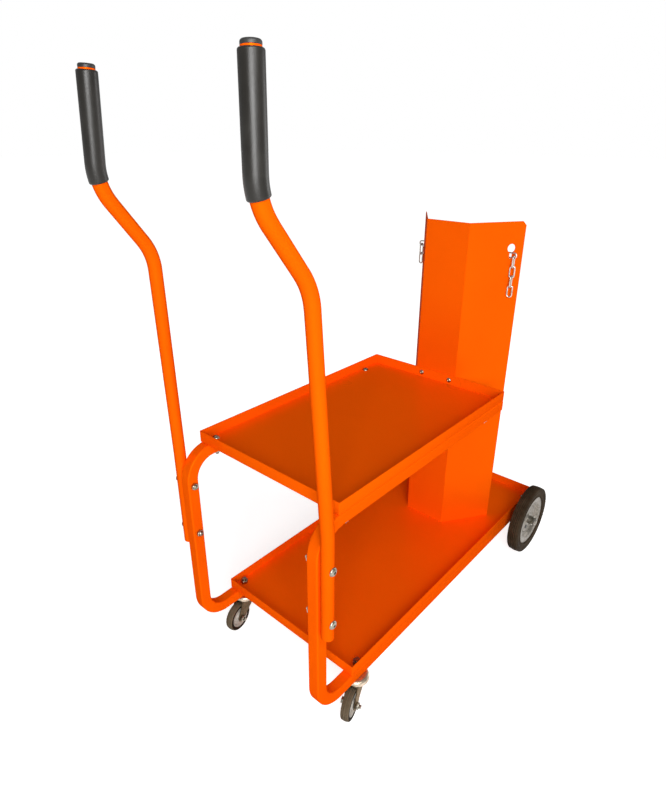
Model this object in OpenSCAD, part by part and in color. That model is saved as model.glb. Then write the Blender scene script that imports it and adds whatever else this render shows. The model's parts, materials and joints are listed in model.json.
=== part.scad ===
// Welding trolley: two sheet-steel trays on side frames of bent square tube, a folded plate
// that a gas cylinder leans against, two fixed wheels, two swivel casters and two handles.
// X points to the right, Y points forwards, away from the handles, and Z points up.
// The origin lies on the floor, under the middle of the whole trolley.

/* [Overall] */
// Height from the floor to the crown of the handle caps
overall_h = 1200; // [1150:10:1300]
// Width over the trays and the side frames
frame_w = 376; // [340:2:440]
// Length from the back of the side frames to the front end of the lower tray
base_len = 950; // [900:10:1050]

/* [Side frames] */
// Side of the square tube
tube_s = 25; // [22:1:30]
// Wall of the square tube
tube_wall = 1.5; // [1:0.5:2]
// Outer corner radius of the square tube
tube_corner_r = 3; // [2.5:0.5:4]
// Radius of the frame's bends at the tube's centre line
frame_bend_r = 56; // [45:1:70]

/* [Trays] */
// Thickness of the tray sheet
tray_t = 1.5; // [1:0.25:2.5]
// Height of the upstanding rims, from the underside of the tray
rim_h = 25; // [20:1:40]
// Distance from the back of the side frames to the back of the upper tray
upper_back = 56; // [50:1:80]
// Distance from the back of the upper tray to the back of the lower tray
lower_back = 44; // [20:1:60]
// Length of the upper tray
upper_len = 595; // [540:5:640]
// Height from the underside of the lower tray to the underside of the upper tray
tray_spacing = 418; // [360:2:460]

/* [Cylinder plate] */
// Thickness of the folded plate
plate_t = 2; // [1.5:0.25:3]
// Height of the folded plate
plate_h = 812; // [700:2:900]
// Width of its middle facet
plate_mid_w = 112; // [90:1:140]
// Length of each wing, from its fold to its edge
wing_len = 142; // [120:1:150]
// Angle between a wing and the middle facet
wing_angle = 56; // [45:1:65]
// Size of the chamfer at each wing's top corner
wing_chamfer = 9; // [5:1:20]
// Length of the foot flange that is screwed to the lower tray
foot_flange = 26; // [22:1:40]

/* [Keyholes and chain] */
// Distance from the fold to the middle of the keyhole
keyhole_along = 111; // [90:1:115]
// Depth of the keyhole's middle below the top edge
keyhole_down = 60; // [40:1:80]
// Diameter of the keyhole's round part
keyhole_d = 20; // [17:1:24]
// Width of the keyhole's slot
slot_w = 7; // [6.5:0.25:9]
// Distance from the middle of the round part to the middle of the slot's end
slot_drop = 20; // [18:1:28]
// Diameter of the chain's wire
chain_wire = 3.5; // [3:0.1:3.8]
// Pitch of the chain
chain_pitch = 23; // [22:0.5:26]
// Clear width inside a link
link_inside = 7.4; // [7:0.1:8]
// Number of links in the loop between the two slots, always odd
span_links = 13; // [11:2:17]

/* [Handles] */
// Diameter of the handle tube
handle_d = 24; // [20:1:26]
// Wall of the handle tube
handle_wall = 1.5; // [1:0.25:2.5]
// Distance between the two bolts of a handle
handle_bolt_pitch = 116; // [80:1:140]
// Distance from the upper bolt to the end of the frame's upper bend
bolt_below_bend = 7; // [6:1:20]
// Length of the handle below its lower bolt
handle_tail = 36; // [25:1:70]
// Inward lean of the handle above the frame
handle_lean = 2.25; // [0:0.25:3]
// Backward tilt of the handle above the frame
handle_tilt = 2; // [0:0.2:3]
// Length of the tilted stretch below the first bend
handle_rise = 376; // [330:1:390]
// Steepest angle of the swept stretch, from the upright
sweep_angle = 36.5; // [30:0.5:45]
// Length of the straight between the two bends of the sweep
sweep_len = 79; // [60:1:95]
// Radius of the handle's bends at the tube's centre line
handle_bend_r = 92; // [70:1:100]
// Angle at which the top of the handle leans forwards again
grip_tip = 3; // [0:0.5:5]
// Outer diameter of the grip
grip_d = 30; // [28:0.5:34]
// Length of the grip
grip_len = 150; // [120:1:150]
// Radius of the grip's rounded ends
grip_round = 3; // [1:0.5:3]
// Bare tube between the grip and the cap
cap_ring = 2; // [1:0.5:8]
// Height of the cap's head
cap_h = 6; // [5:0.5:9]
// Length of the cap's plug inside the tube
cap_plug = 16; // [10:1:30]

/* [Fixed wheels] */
// Diameter of a fixed wheel over its tread
wheel_d = 195; // [180:1:205]
// Width of the tyre
wheel_w = 30; // [28:1:40]
// Distance from the frame's outer face to the middle plane of the wheel
wheel_out = 33; // [28:0.5:45]
// Diameter of the rim at the edge of its flange
rim_d = 139; // [125:1:145]
// Depth of the dish in each half of the rim
rim_dish = 9; // [6:0.5:11]
// Thickness of the rim's sheet
rim_t = 1.5; // [1:0.25:2.5]
// Outer diameter of the hub tube
hub_d = 24; // [20:1:30]
// Diameter of the axle
axle_d = 12; // [10:0.5:14]
// Distance of the axle below the middle of the lower side tube
axle_drop = 4; // [0:0.5:4.5]
// Length of axle past each nut
axle_proud = 1; // [1:0.5:6]

/* [Casters] */
// Diameter of a caster wheel
caster_d = 70; // [60:1:72]
// Width of a caster wheel's tyre
caster_w = 18; // [16:1:24]
// Distance from the swivel axis back to the wheel's axle
caster_trail = 32; // [28:1:40]
// Angle that the left caster is turned to
left_turn = 9; // [0:1:45]
// Angle that the right caster is turned to
right_turn = 17; // [0:1:45]
// Distance from the back of the lower tray to the swivel axis
caster_inset = 31; // [28:1:60]
// Diameter of the swivel stem
stem_d = 10; // [8:0.5:11]
// Diameter of the round head under the frame
head_d = 54; // [46:1:58]
// Thickness of the fork's steel
fork_t = 2; // [1.5:0.25:3]
// Diameter of the balls in the swivel
ball_d = 6; // [5:0.25:7]
// Diameter of the caster's axle bolt
caster_axle_d = 8; // [6:0.5:9]

/* [Fasteners] */
// Diameter of the frame and handle bolts
bolt_d = 8; // [6:0.5:9]
// Diameter of the plate's screws
screw_d = 6; // [4:0.5:7]
// Distance of the upper tray's back bolts from its back end
upper_bolt_back = 30; // [20:1:60]
// Distance of the upper tray's front bolts from its front end
upper_bolt_front = 65; // [20:1:90]
// Distance of the lower tray's front bolts from its front end
lower_bolt_front = 28; // [20:1:60]
// Spacing of the two screws in the plate's middle facet
plate_screw_gap = 80; // [50:1:90]
// Height of those screws above the underside of the upper tray
plate_screw_up = 12; // [9:1:18]

/* [Hidden] */
$fn = 48;
// Clearance of a bolt in its hole, of a running shaft and of a seated piece
hole_gap = 0.25;
run_gap = 0.05;
seat_gap = 0.3;
// Clearance between neighbouring chain links, and under the link in the slot
link_gap = 0.4;
slot_gap = 0.5;
// How far a cutting solid reaches past the face that it cuts
past = 1;

// Heights
axle_z = wheel_d/2;
arm_z = axle_z + axle_drop;
deck_z = arm_z + tube_s/2;
shelf_z = deck_z + tray_spacing;
upper_arm_z = shelf_z - tube_s/2;
handle_bolt_z = upper_arm_z - frame_bend_r - bolt_below_bend;
knee_z = upper_arm_z;

// Lengths of the handle, and the row along Y
sweep_rise = handle_rise*cos(handle_tilt)
    + handle_bend_r*(2*sin(sweep_angle) + sin(grip_tip) - sin(handle_tilt))
    + sweep_len*cos(sweep_angle);
sweep_back = handle_rise*sin(handle_tilt)
    + handle_bend_r*(1 + cos(handle_tilt) - 2*cos(sweep_angle)) + sweep_len*sin(sweep_angle);
cap_crown = cap_h/2;
cap_slope = acos(cos(handle_lean)*cos(grip_tip));
lean_rise = (overall_h - knee_z - (handle_d/2 - cap_crown)*sin(cap_slope))/cos(handle_lean);
handle_top = (lean_rise - sweep_rise)/cos(grip_tip) - cap_h;
grip_bent = grip_len + cap_ring - handle_top;
y_back = -(base_len + tube_s/2 - sweep_back - grip_d/2)/2;
y_front = y_back + base_len;
y_post = y_back + tube_s/2;
y_upper = y_back + upper_back;
y_upper_end = y_upper + upper_len;
y_lower = y_upper + lower_back;
y_plate = y_upper_end;
y_wheel = y_front - wheel_d/2;
y_caster = y_lower + caster_inset;

// Places across the width
x_arm = frame_w/2 - tube_s/2;
x_handle = frame_w/2 + handle_d/2 + seat_gap;
x_wheel = frame_w/2 + wheel_out;

// Nuts, heads, collars and washers follow the thread that they belong to
function flats(d) = 1.6*d;
function nut_h(d) = 0.8*d;
function dome_d(d) = 2.1*d;
function dome_h(d) = 0.55*d;
function collar_r(d) = 0.8*d;
function washer_r(d) = 1.1*d;
// Length of thread past a nut
thread_proud = 4.5;

// Chain
link_r = (link_inside + chain_wire)/2;
link_reach = chain_pitch + chain_wire + link_gap;
link_leg = link_reach - 2*link_r;
link_step = chain_wire + link_gap;
link_turn = 40;
slot_x = plate_mid_w/2 + keyhole_along*cos(wing_angle);
slot_y = y_plate + plate_t/2 + keyhole_along*sin(wing_angle);
keyhole_z = deck_z + tray_t + plate_h - keyhole_down;
chain_z = keyhole_z - slot_drop - slot_w/2 + slot_gap + chain_wire/2 + link_r;
tail_off = plate_t/2 + link_r*sin(link_turn) + chain_wire/2 + seat_gap;
tail_x = slot_x + tail_off/sin(wing_angle);
tail_z = chain_z - link_inside/2 + chain_wire/2 + link_gap;
slot_link_x = tail_x + link_r;
span_x = slot_link_x - link_reach + link_step;
right_tail_links = 4;
left_tail_links = 2;

// Fixed wheels
hub_in = x_wheel - wheel_w/2 + seat_gap;
hub_len = wheel_w - seat_gap;
washer_t = 2;
nut_face = hub_in + hub_len + seat_gap + washer_t;
axle_half = nut_face + nut_h(axle_d) + axle_proud;
// Height of the rim's flange above the tyre's seat, and its steps beside the dish
flange_h = 9;
flange_step = 3;
wall_step = 2;
rim_seat_r = rim_d/2 - flange_h;
flange_x = rim_dish + flange_step;

// Casters, measured down from the underside of the lower side tube
head_top = arm_z - tube_s/2;
head_t = 5;
head_wall = 1.5;
// Gaps between the head's skirt and the crown under it, and beside the balls
skirt_gap = 0.8;
ball_gap = 1.5;
// How far the stem's foot stands out round the stem, and its height
foot_lip = 3;
foot_h = 2.5;
race_z = head_top - head_t - run_gap;
crown_top = race_z - ball_d - run_gap;
crown_t = 1.5*fork_t;
crown_bottom = crown_top - crown_t;
ball_ring_r = head_d/2 - head_wall - ball_gap - ball_d/2;
// Clear space beside the caster wheel
wheel_side_gap = 2;
fork_in = caster_w/2 + wheel_side_gap;
caster_z = caster_d/2;
// Steel round the fork's axle hole
eye_lip = 6;
eye_r = caster_axle_d/2 + eye_lip;
caster_hub_half = fork_in - seat_gap;

// Shared shapes

// The left copy of a piece that is drawn on the right
module left() {
    mirror([1, 0, 0])
        children();
}

// Turns a shape that stands along Z to lie along X, with its X along Y
module along_x() {
    rotate([90, 0, 90])
        children();
}

module at_both(x, y, z) {
    for (side = [-1, 1])
        translate([side*x, y, z])
            children();
}

module tube(r_out, r_in, h) {
    difference() {
        cylinder(r = r_out, h = h);
        translate([0, 0, -past])
            cylinder(r = r_in, h = h + 2*past);
    }
}

module nut(d) {
    difference() {
        cylinder(d = flats(d)/cos(30), h = nut_h(d), $fn = 6);
        translate([0, 0, -past])
            cylinder(d = d, h = nut_h(d) + 2*past);
    }
}

// Screw with a domed head that sits on Z = 0 and a shank that hangs below it
module dome_bolt(d, grip) {
    rim = dome_d(d)/2;
    rise = dome_h(d);
    ball_r = (rim*rim + rise*rise)/(2*rise);
    translate([0, 0, -grip])
        cylinder(d = d, h = grip);
    intersection() {
        cylinder(r = rim, h = rise);
        translate([0, 0, rise - ball_r])
            sphere(r = ball_r, $fn = 96);
    }
}

// Side frames

module square_section(side, corner) {
    square([side, side - 2*corner], center = true);
    square([side - 2*corner, side], center = true);
    for (i = [-1, 1], j = [-1, 1])
        translate([i*(side/2 - corner), j*(side/2 - corner)])
            circle(r = corner);
}

module frame_run(side, corner, over) {
    low_start = y_post + frame_bend_r;
    translate([x_arm, y_front + over, arm_z])
        rotate([90, 0, 0])
            linear_extrude(y_front - low_start + over)
                square_section(side, corner);
    translate([x_arm, y_upper_end + over, upper_arm_z])
        rotate([90, 0, 0])
            linear_extrude(y_upper_end - low_start + over)
                square_section(side, corner);
    translate([x_arm, y_post, arm_z + frame_bend_r])
        linear_extrude(upper_arm_z - arm_z - 2*frame_bend_r)
            square_section(side, corner);
    translate([x_arm, low_start, upper_arm_z - frame_bend_r])
        along_bend(90, side, corner);
    translate([x_arm, low_start, arm_z + frame_bend_r])
        along_bend(180, side, corner);
}

// A quarter of a ring about X, from the given angle on, measured from +Y towards +Z
module along_bend(start, side, corner) {
    along_x()
        rotate([0, 0, start])
            rotate_extrude(angle = 90)
                translate([frame_bend_r, 0])
                    square_section(side, corner);
}

module right_frame() {
    color("orangered")
        difference() {
            frame_run(tube_s, tube_corner_r, 0);
            frame_run(tube_s - 2*tube_wall, tube_corner_r - tube_wall, past);
            frame_holes();
        }
}

module frame_holes() {
    for (y = [y_upper + upper_bolt_back, y_upper_end - upper_bolt_front])
        translate([x_arm, y, upper_arm_z - tube_s])
            cylinder(d = bolt_d + 2*hole_gap, h = 2*tube_s);
    translate([x_arm, y_front - lower_bolt_front, arm_z - tube_s])
        cylinder(d = bolt_d + 2*hole_gap, h = 2*tube_s);
    translate([x_arm, y_caster, arm_z - tube_s])
        cylinder(d = stem_d + 2*hole_gap, h = 2*tube_s);
    translate([x_arm - tube_s, y_wheel, axle_z])
        along_x()
            cylinder(d = axle_d + 2*hole_gap, h = 2*tube_s);
    for (z = [handle_bolt_z, handle_bolt_z - handle_bolt_pitch])
        translate([x_arm - tube_s, y_post, z])
            along_x()
                cylinder(d = bolt_d + 2*hole_gap, h = 2*tube_s);
}

module left_side_frame() {
    left()
        right_frame();
}

module right_side_frame() {
    right_frame();
}

// Trays

module tray(y_start, length, z) {
    translate([-frame_w/2, y_start, z])
        difference() {
            cube([frame_w, length, rim_h]);
            translate([tray_t, tray_t, tray_t])
                cube([frame_w - 2*tray_t, length - 2*tray_t, rim_h]);
        }
}

module lower_tray() {
    color("orangered")
        difference() {
            tray(y_lower, y_front - y_lower, deck_z);
            at_both(x_arm, y_caster, deck_z - past)
                cylinder(d = stem_d + 2*hole_gap, h = rim_h);
            at_both(x_arm, y_front - lower_bolt_front, deck_z - past)
                cylinder(d = bolt_d + 2*hole_gap, h = rim_h);
            at_both(plate_screw_gap/2, foot_hole_y(), deck_z - past)
                cylinder(d = screw_d + 2*hole_gap, h = rim_h);
        }
}

module upper_tray() {
    color("orangered")
        difference() {
            tray(y_upper, upper_len, shelf_z);
            for (y = [y_upper + upper_bolt_back, y_upper_end - upper_bolt_front])
                at_both(x_arm, y, shelf_z - past)
                    cylinder(d = bolt_d + 2*hole_gap, h = rim_h);
            at_both(plate_screw_gap/2, y_upper_end + past, shelf_z + plate_screw_up)
                rotate([90, 0, 0])
                    cylinder(d = screw_d + 2*hole_gap, h = tray_t + 2*past);
        }
}

// Cylinder plate

function foot_hole_y() = y_plate + plate_t + foot_flange/2;

// Outline of the folded sheet from above, as a strip of even thickness
module plate_outline() {
    half = plate_mid_w/2;
    miter = plate_t*tan(wing_angle/2);
    tip = [half + wing_len*cos(wing_angle), wing_len*sin(wing_angle)];
    skin = [-plate_t*sin(wing_angle), plate_t*cos(wing_angle)];
    polygon([
        [half, 0], tip, tip + skin, [half - miter, plate_t],
        [-half + miter, plate_t], [-tip[0] - skin[0], tip[1] + skin[1]],
        [-tip[0], tip[1]], [-half, 0]
    ]);
}

// Carries its children to a wing: X runs along the wing from the fold, Y through the sheet
module on_wing(along, z) {
    translate([plate_mid_w/2, y_plate, z])
        rotate([0, 0, wing_angle])
            translate([along, 0, 0])
                children();
}

module keyhole_cut() {
    on_wing(keyhole_along, keyhole_z) {
        rotate([90, 0, 0])
            translate([0, 0, -plate_t - past])
                cylinder(d = keyhole_d, h = plate_t + 2*past);
        translate([-slot_w/2, -past, -slot_drop])
            cube([slot_w, plate_t + 2*past, slot_drop]);
        translate([0, 0, -slot_drop])
            rotate([90, 0, 0])
                translate([0, 0, -plate_t - past])
                    cylinder(d = slot_w, h = plate_t + 2*past);
    }
}

module wing_corner_cut() {
    reach = wing_chamfer*sqrt(2);
    on_wing(wing_len, deck_z + tray_t + plate_h)
        rotate([0, 45, 0])
            translate([-reach, -past - plate_t, -wing_chamfer/sqrt(2)])
                cube([2*reach, 3*plate_t + 2*past, 2*reach]);
}

module cylinder_plate() {
    color("orangered")
        difference() {
            union() {
                translate([0, y_plate, deck_z + tray_t])
                    linear_extrude(plate_h)
                        plate_outline();
                translate([-plate_mid_w/2 + plate_t, y_plate, deck_z + tray_t])
                    cube([plate_mid_w - 2*plate_t, plate_t + foot_flange, plate_t]);
            }
            keyhole_cut();
            left()
                keyhole_cut();
            wing_corner_cut();
            left()
                wing_corner_cut();
            at_both(plate_screw_gap/2, y_plate + plate_t + past, shelf_z + plate_screw_up)
                rotate([90, 0, 0])
                    cylinder(d = screw_d + 2*hole_gap, h = plate_t + 2*past);
            at_both(plate_screw_gap/2, foot_hole_y(), deck_z)
                cylinder(d = screw_d + 2*hole_gap, h = 3*plate_t + 2*past);
        }
}

// Handles

// A bend about X towards -Y, and the frame at its end
module bend_back(r, angle) {
    translate([0, -handle_bend_r, 0])
        along_x()
            rotate_extrude(angle = angle)
                translate([handle_bend_r, 0])
                    circle(r = r);
}

module after_bend_back(angle) {
    translate([0, -handle_bend_r*(1 - cos(angle)), handle_bend_r*sin(angle)])
        rotate([angle, 0, 0])
            children();
}

// Frames along the right handle: at its knee, after its first bend and at the start of its
// straight top
module at_knee() {
    translate([x_handle, y_post, knee_z])
        rotate([handle_tilt, -handle_lean, 0])
            children();
}

module at_sweep() {
    at_knee()
        translate([0, 0, handle_rise])
            after_bend_back(sweep_angle - handle_tilt)
                children();
}

module at_top() {
    at_sweep()
        translate([0, 0, sweep_len])
            mirror([0, 1, 0])
                after_bend_back(sweep_angle + grip_tip)
                    children();
}

// Straights are a hair slimmer than the bends and run a little way into them, which makes
// one solid of the whole tube
slim = 0.1;
lap = 0.5;

module straight(r, from, to) {
    translate([0, 0, from])
        cylinder(r = r - slim, h = to - from);
}

module handle_run(r, over) {
    foot_z = handle_bolt_z - handle_bolt_pitch - handle_tail - over;
    translate([x_handle, y_post, 0])
        straight(r, foot_z, knee_z);
    at_knee() {
        sphere(r = r);
        straight(r, 0, handle_rise + lap);
        translate([0, 0, handle_rise])
            bend_back(r, sweep_angle - handle_tilt);
    }
    at_sweep() {
        straight(r, -lap, sweep_len + lap);
        translate([0, 0, sweep_len])
            mirror([0, 1, 0])
                bend_back(r, sweep_angle + grip_tip);
    }
    at_top()
        straight(r, -lap, handle_top + over);
}

module right_handle() {
    color("orangered")
        difference() {
            handle_run(handle_d/2, 0);
            handle_run(handle_d/2 - handle_wall, past);
            for (z = [handle_bolt_z, handle_bolt_z - handle_bolt_pitch])
                translate([x_handle - handle_d, y_post, z])
                    along_x()
                        cylinder(d = bolt_d + 2*hole_gap, h = 2*handle_d);
        }
}

module left_handle() {
    left()
        right_handle();
}

// The grip covers the straight top and the last stretch of the bend under it
module grip_bend(r, angle) {
    at_top()
        mirror([0, 1, 0])
            rotate([180, 0, 0])
                bend_back(r, angle);
}

module grip_body() {
    at_top()
        translate([0, 0, -lap])
            rotate_extrude() {
                square([grip_d/2 - slim, lap + grip_len - grip_bent - grip_round]);
                square([grip_d/2 - slim - grip_round, lap + grip_len - grip_bent]);
                translate([grip_d/2 - slim - grip_round, lap + grip_len - grip_bent - grip_round])
                    intersection() {
                        circle(r = grip_round);
                        square(grip_round);
                    }
            }
    grip_bend(grip_d/2, grip_bent/handle_bend_r*180/PI);
}

// The bore is cut a little wider where the straight meets the bend
module grip_bore() {
    grip_bend(handle_d/2 + run_gap, (grip_bent + past)/handle_bend_r*180/PI);
    at_top() {
        straight(handle_d/2 + run_gap, -lap, grip_len);
        translate([0, 0, -lap])
            cylinder(r = handle_d/2 + 2*run_gap, h = 2*lap);
    }
}

module right_grip() {
    color("dimgray")
        difference() {
            grip_body();
            grip_bore();
        }
}

module left_grip() {
    left()
        right_grip();
}

module right_handle_cap() {
    color("black")
        at_top()
            translate([0, 0, handle_top]) {
                rotate_extrude() {
                    square([handle_d/2, cap_h - cap_crown]);
                    square([handle_d/2 - cap_crown, cap_h]);
                    intersection() {
                        translate([handle_d/2 - cap_crown, cap_h - cap_crown])
                            circle(r = cap_crown);
                        square([handle_d, cap_h]);
                    }
                }
                translate([0, 0, -cap_plug])
                    cylinder(r = handle_d/2 - handle_wall - slim - run_gap, h = cap_plug);
            }
}

module left_handle_cap() {
    left()
        right_handle_cap();
}

// Fasteners of the frame

handle_bolt_head_x = x_handle + handle_d/2;
handle_nut_x = frame_w/2 - tube_s - nut_h(bolt_d);

module at_handle_bolts(x) {
    for (z = [handle_bolt_z, handle_bolt_z - handle_bolt_pitch])
        translate([x, y_post, z])
            along_x()
                children();
}

module handle_bolts() {
    color("silver")
        for (side = [0, 1])
            mirror([side, 0, 0])
                at_handle_bolts(handle_bolt_head_x)
                    dome_bolt(bolt_d, handle_bolt_head_x - handle_nut_x + thread_proud);
}

module handle_nuts() {
    color("silver")
        for (side = [0, 1])
            mirror([side, 0, 0])
                at_handle_bolts(handle_nut_x)
                    nut(bolt_d);
}

tray_bolt_grip = tray_t + tube_s + nut_h(bolt_d) + thread_proud;

module upper_tray_bolts() {
    color("silver")
        for (y = [y_upper + upper_bolt_back, y_upper_end - upper_bolt_front])
            at_both(x_arm, y, shelf_z + tray_t)
                dome_bolt(bolt_d, tray_bolt_grip);
}

module upper_tray_nuts() {
    color("silver")
        for (y = [y_upper + upper_bolt_back, y_upper_end - upper_bolt_front])
            at_both(x_arm, y, shelf_z - tube_s - nut_h(bolt_d))
                nut(bolt_d);
}

module lower_tray_bolts() {
    color("silver")
        at_both(x_arm, y_front - lower_bolt_front, deck_z + tray_t)
            dome_bolt(bolt_d, tray_bolt_grip);
}

module lower_tray_nuts() {
    color("silver")
        at_both(x_arm, y_front - lower_bolt_front, deck_z - tube_s - nut_h(bolt_d))
            nut(bolt_d);
}

module plate_screws() {
    color("silver")
        at_both(plate_screw_gap/2, y_upper_end - tray_t, shelf_z + plate_screw_up)
            rotate([90, 0, 0])
                dome_bolt(screw_d, tray_t + plate_t + nut_h(screw_d) + thread_proud);
}

module plate_screw_nuts() {
    color("silver")
        at_both(plate_screw_gap/2, y_plate + plate_t, shelf_z + plate_screw_up)
            rotate([-90, 0, 0])
                nut(screw_d);
}

module plate_foot_bolts() {
    color("silver")
        at_both(plate_screw_gap/2, foot_hole_y(), deck_z + tray_t + plate_t)
            dome_bolt(screw_d, tray_t + plate_t + nut_h(screw_d) + thread_proud);
}

module plate_foot_nuts() {
    color("silver")
        at_both(plate_screw_gap/2, foot_hole_y(), deck_z - nut_h(screw_d))
            nut(screw_d);
}

// Axle and fixed wheels

module axle() {
    color("silver")
        translate([-axle_half, y_wheel, axle_z])
            along_x()
                cylinder(d = axle_d, h = 2*axle_half);
}

module on_axle(x) {
    for (side = [0, 1])
        mirror([side, 0, 0])
            translate([x, y_wheel, axle_z])
                along_x()
                    children();
}

module axle_spacers() {
    color("silver")
        on_axle(frame_w/2)
            tube(collar_r(axle_d), axle_d/2 + run_gap, hub_in - seat_gap - frame_w/2);
}

module axle_washers() {
    color("silver")
        on_axle(nut_face - washer_t)
            tube(washer_r(axle_d), axle_d/2 + run_gap, washer_t);
}

module axle_nuts() {
    color("silver")
        on_axle(nut_face)
            nut(axle_d);
}

module at_wheel() {
    translate([x_wheel, y_wheel, axle_z])
        along_x()
            children();
}

// Half of the tyre's outline: foot between the rim's flanges, side wall, shoulder and tread
tread_r = wheel_d/2;
shoulder_r = 8;
foot_half = flange_x - rim_t - seat_gap;
groove_count = 4;
groove_pitch = 5;
groove_w = 1.6;
groove_depth = 2.2;

function groove_y(i) = (i - (groove_count - 1)/2)*groove_pitch;

module tyre_section() {
    shoulder = [tread_r - shoulder_r, wheel_w/2 - shoulder_r];
    difference() {
        union() {
            translate([rim_seat_r + 2*seat_gap, -foot_half])
                square([tread_r - shoulder_r - rim_seat_r - 2*seat_gap, 2*foot_half]);
            translate([rim_d/2 + seat_gap, -wheel_w/2])
                square([tread_r - shoulder_r - rim_d/2 - seat_gap, wheel_w]);
            translate([rim_seat_r + 2*seat_gap, -shoulder[1]])
                square([tread_r - rim_seat_r - 2*seat_gap, 2*shoulder[1]]);
            for (s = [-1, 1])
                translate([shoulder[0], s*shoulder[1]])
                    circle(r = shoulder_r);
        }
        for (i = [0:groove_count - 1])
            translate([tread_r - groove_depth, groove_y(i) - groove_w/2])
                square([groove_depth + past, groove_w]);
        for (s = [0, 1])
            mirror([0, s])
                translate([rim_seat_r - past, foot_half])
                    square([rim_d/2 + seat_gap - rim_seat_r + past, wheel_w]);
    }
}

module right_wheel_tyre() {
    color("#38342f")
        at_wheel()
            rotate_extrude($fn = 96)
                tyre_section();
}

module left_wheel_tyre() {
    left()
        right_wheel_tyre();
}

// One pressed half of the rim: flat web, sloping dish wall and flange
module rim_half() {
    hole_r = hub_d/2 + run_gap;
    wall_r = rim_seat_r - wall_step;
    web_r = wall_r - rim_dish;
    face = [
        [hole_r, rim_t], [web_r, rim_t], [wall_r, rim_dish + rim_t],
        [rim_seat_r, flange_x], [rim_d/2, flange_x]
    ];
    back = [for (i = [len(face) - 1:-1:0]) face[i] - [0, rim_t]];
    rotate_extrude($fn = 96)
        polygon(concat(face, back));
}

module right_rim_outer() {
    color("lightgray")
        at_wheel()
            rim_half();
}

module right_rim_inner() {
    color("lightgray")
        at_wheel()
            mirror([0, 0, 1])
                rim_half();
}

module left_rim_outer() {
    left()
        right_rim_outer();
}

module left_rim_inner() {
    left()
        right_rim_inner();
}

module right_wheel_hub() {
    color("silver")
        translate([hub_in, y_wheel, axle_z])
            along_x()
                tube(hub_d/2, axle_d/2 + run_gap, hub_len);
}

module left_wheel_hub() {
    left()
        right_wheel_hub();
}

// Casters: each is drawn about its swivel axis, trailing along -Y before it is turned

module at_caster(side) {
    translate([side*x_arm, y_caster, 0])
        rotate([0, 0, side < 0 ? left_turn : right_turn])
            children();
}

stem_bottom = crown_bottom - seat_gap - foot_h;
stem_top = deck_z + tray_t + nut_h(stem_d) + thread_proud;

module caster_stem(side) {
    color("silver")
        at_caster(side) {
            translate([0, 0, stem_bottom])
                cylinder(d = stem_d, h = stem_top - stem_bottom);
            translate([0, 0, stem_bottom])
                cylinder(r = stem_d/2 + foot_lip, h = foot_h);
        }
}

module left_caster_stem() {
    caster_stem(-1);
}

module right_caster_stem() {
    caster_stem(1);
}

module caster_stem_nuts() {
    color("silver")
        at_both(x_arm, y_caster, deck_z + tray_t)
            nut(stem_d);
}

// Round cover over the swivel's balls, pressed against the underside of the side tube
module caster_head(side) {
    skirt = head_top - crown_top - skirt_gap;
    color("gainsboro")
        at_caster(side)
            translate([0, 0, head_top - skirt])
                difference() {
                    cylinder(d = head_d, h = skirt);
                    translate([0, 0, -past])
                        cylinder(d = head_d - 2*head_wall, h = skirt - head_t + past);
                    translate([0, 0, -past])
                        cylinder(r = stem_d/2 + run_gap, h = skirt + 2*past);
                }
}

module left_caster_head() {
    caster_head(-1);
}

module right_caster_head() {
    caster_head(1);
}

module caster_balls(side) {
    count = floor(PI*ball_ring_r/(ball_d/2 + seat_gap));
    color("silver")
        at_caster(side)
            for (i = [0:count - 1])
                rotate([0, 0, i*360/count])
                    translate([ball_ring_r, 0, crown_top + run_gap + ball_d/2])
                        sphere(d = ball_d - run_gap);
}

module left_caster_balls() {
    caster_balls(-1);
}

module right_caster_balls() {
    caster_balls(1);
}

// Point where a line from p touches a circle of radius r about c, on the given side
function touch(p, c, r, side) =
    let (away = p - c, turn = atan2(away[1], away[0]) + side*acos(r/norm(away)))
    c + r*[cos(turn), sin(turn)];

// Setbacks of the crown and of the legs from the head's edge, and the size of the legs' nose
crown_inset = 2;
leg_inset = 3;
nose_back = 1.5;
nose_h = 12;

module fork_leg() {
    eye = [-caster_trail, caster_z];
    half = head_d/2 - leg_inset;
    front = [half, crown_top];
    rear = [-half, crown_top];
    front_low = [half - nose_back, crown_top - nose_h];
    difference() {
        union() {
            polygon([
                front, rear, touch(rear, eye, eye_r, 1), eye,
                touch(front_low, eye, eye_r, -1), front_low
            ]);
            translate(eye)
                circle(r = eye_r);
        }
        translate(eye)
            circle(r = caster_axle_d/2 + run_gap);
    }
}

module caster_fork(side) {
    color("gray")
        at_caster(side)
            difference() {
                union() {
                    translate([0, 0, crown_bottom])
                        cylinder(r = head_d/2 - crown_inset, h = crown_t);
                    for (x = [-fork_in - fork_t, fork_in])
                        translate([x, 0, 0])
                            along_x()
                                linear_extrude(fork_t)
                                    fork_leg();
                }
                translate([0, 0, crown_bottom - past])
                    cylinder(r = stem_d/2 + run_gap, h = crown_t + 2*past);
            }
}

module left_caster_fork() {
    caster_fork(-1);
}

module right_caster_fork() {
    caster_fork(1);
}

module at_caster_wheel(side, x) {
    at_caster(side)
        translate([x, -caster_trail, caster_z])
            along_x()
                children();
}

module caster_axle(side) {
    far = fork_in + fork_t;
    color("silver") {
        at_caster_wheel(side, -far)
            cylinder(d = caster_axle_d, h = 2*far + nut_h(caster_axle_d) + thread_proud);
        at_caster_wheel(side, -far - nut_h(caster_axle_d))
            cylinder(d = flats(caster_axle_d)/cos(30), h = nut_h(caster_axle_d), $fn = 6);
    }
}

module left_caster_axle() {
    caster_axle(-1);
}

module right_caster_axle() {
    caster_axle(1);
}

module caster_axle_nut(side) {
    color("silver")
        at_caster_wheel(side, fork_in + fork_t)
            nut(caster_axle_d);
}

module left_caster_axle_nut() {
    caster_axle_nut(-1);
}

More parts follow.
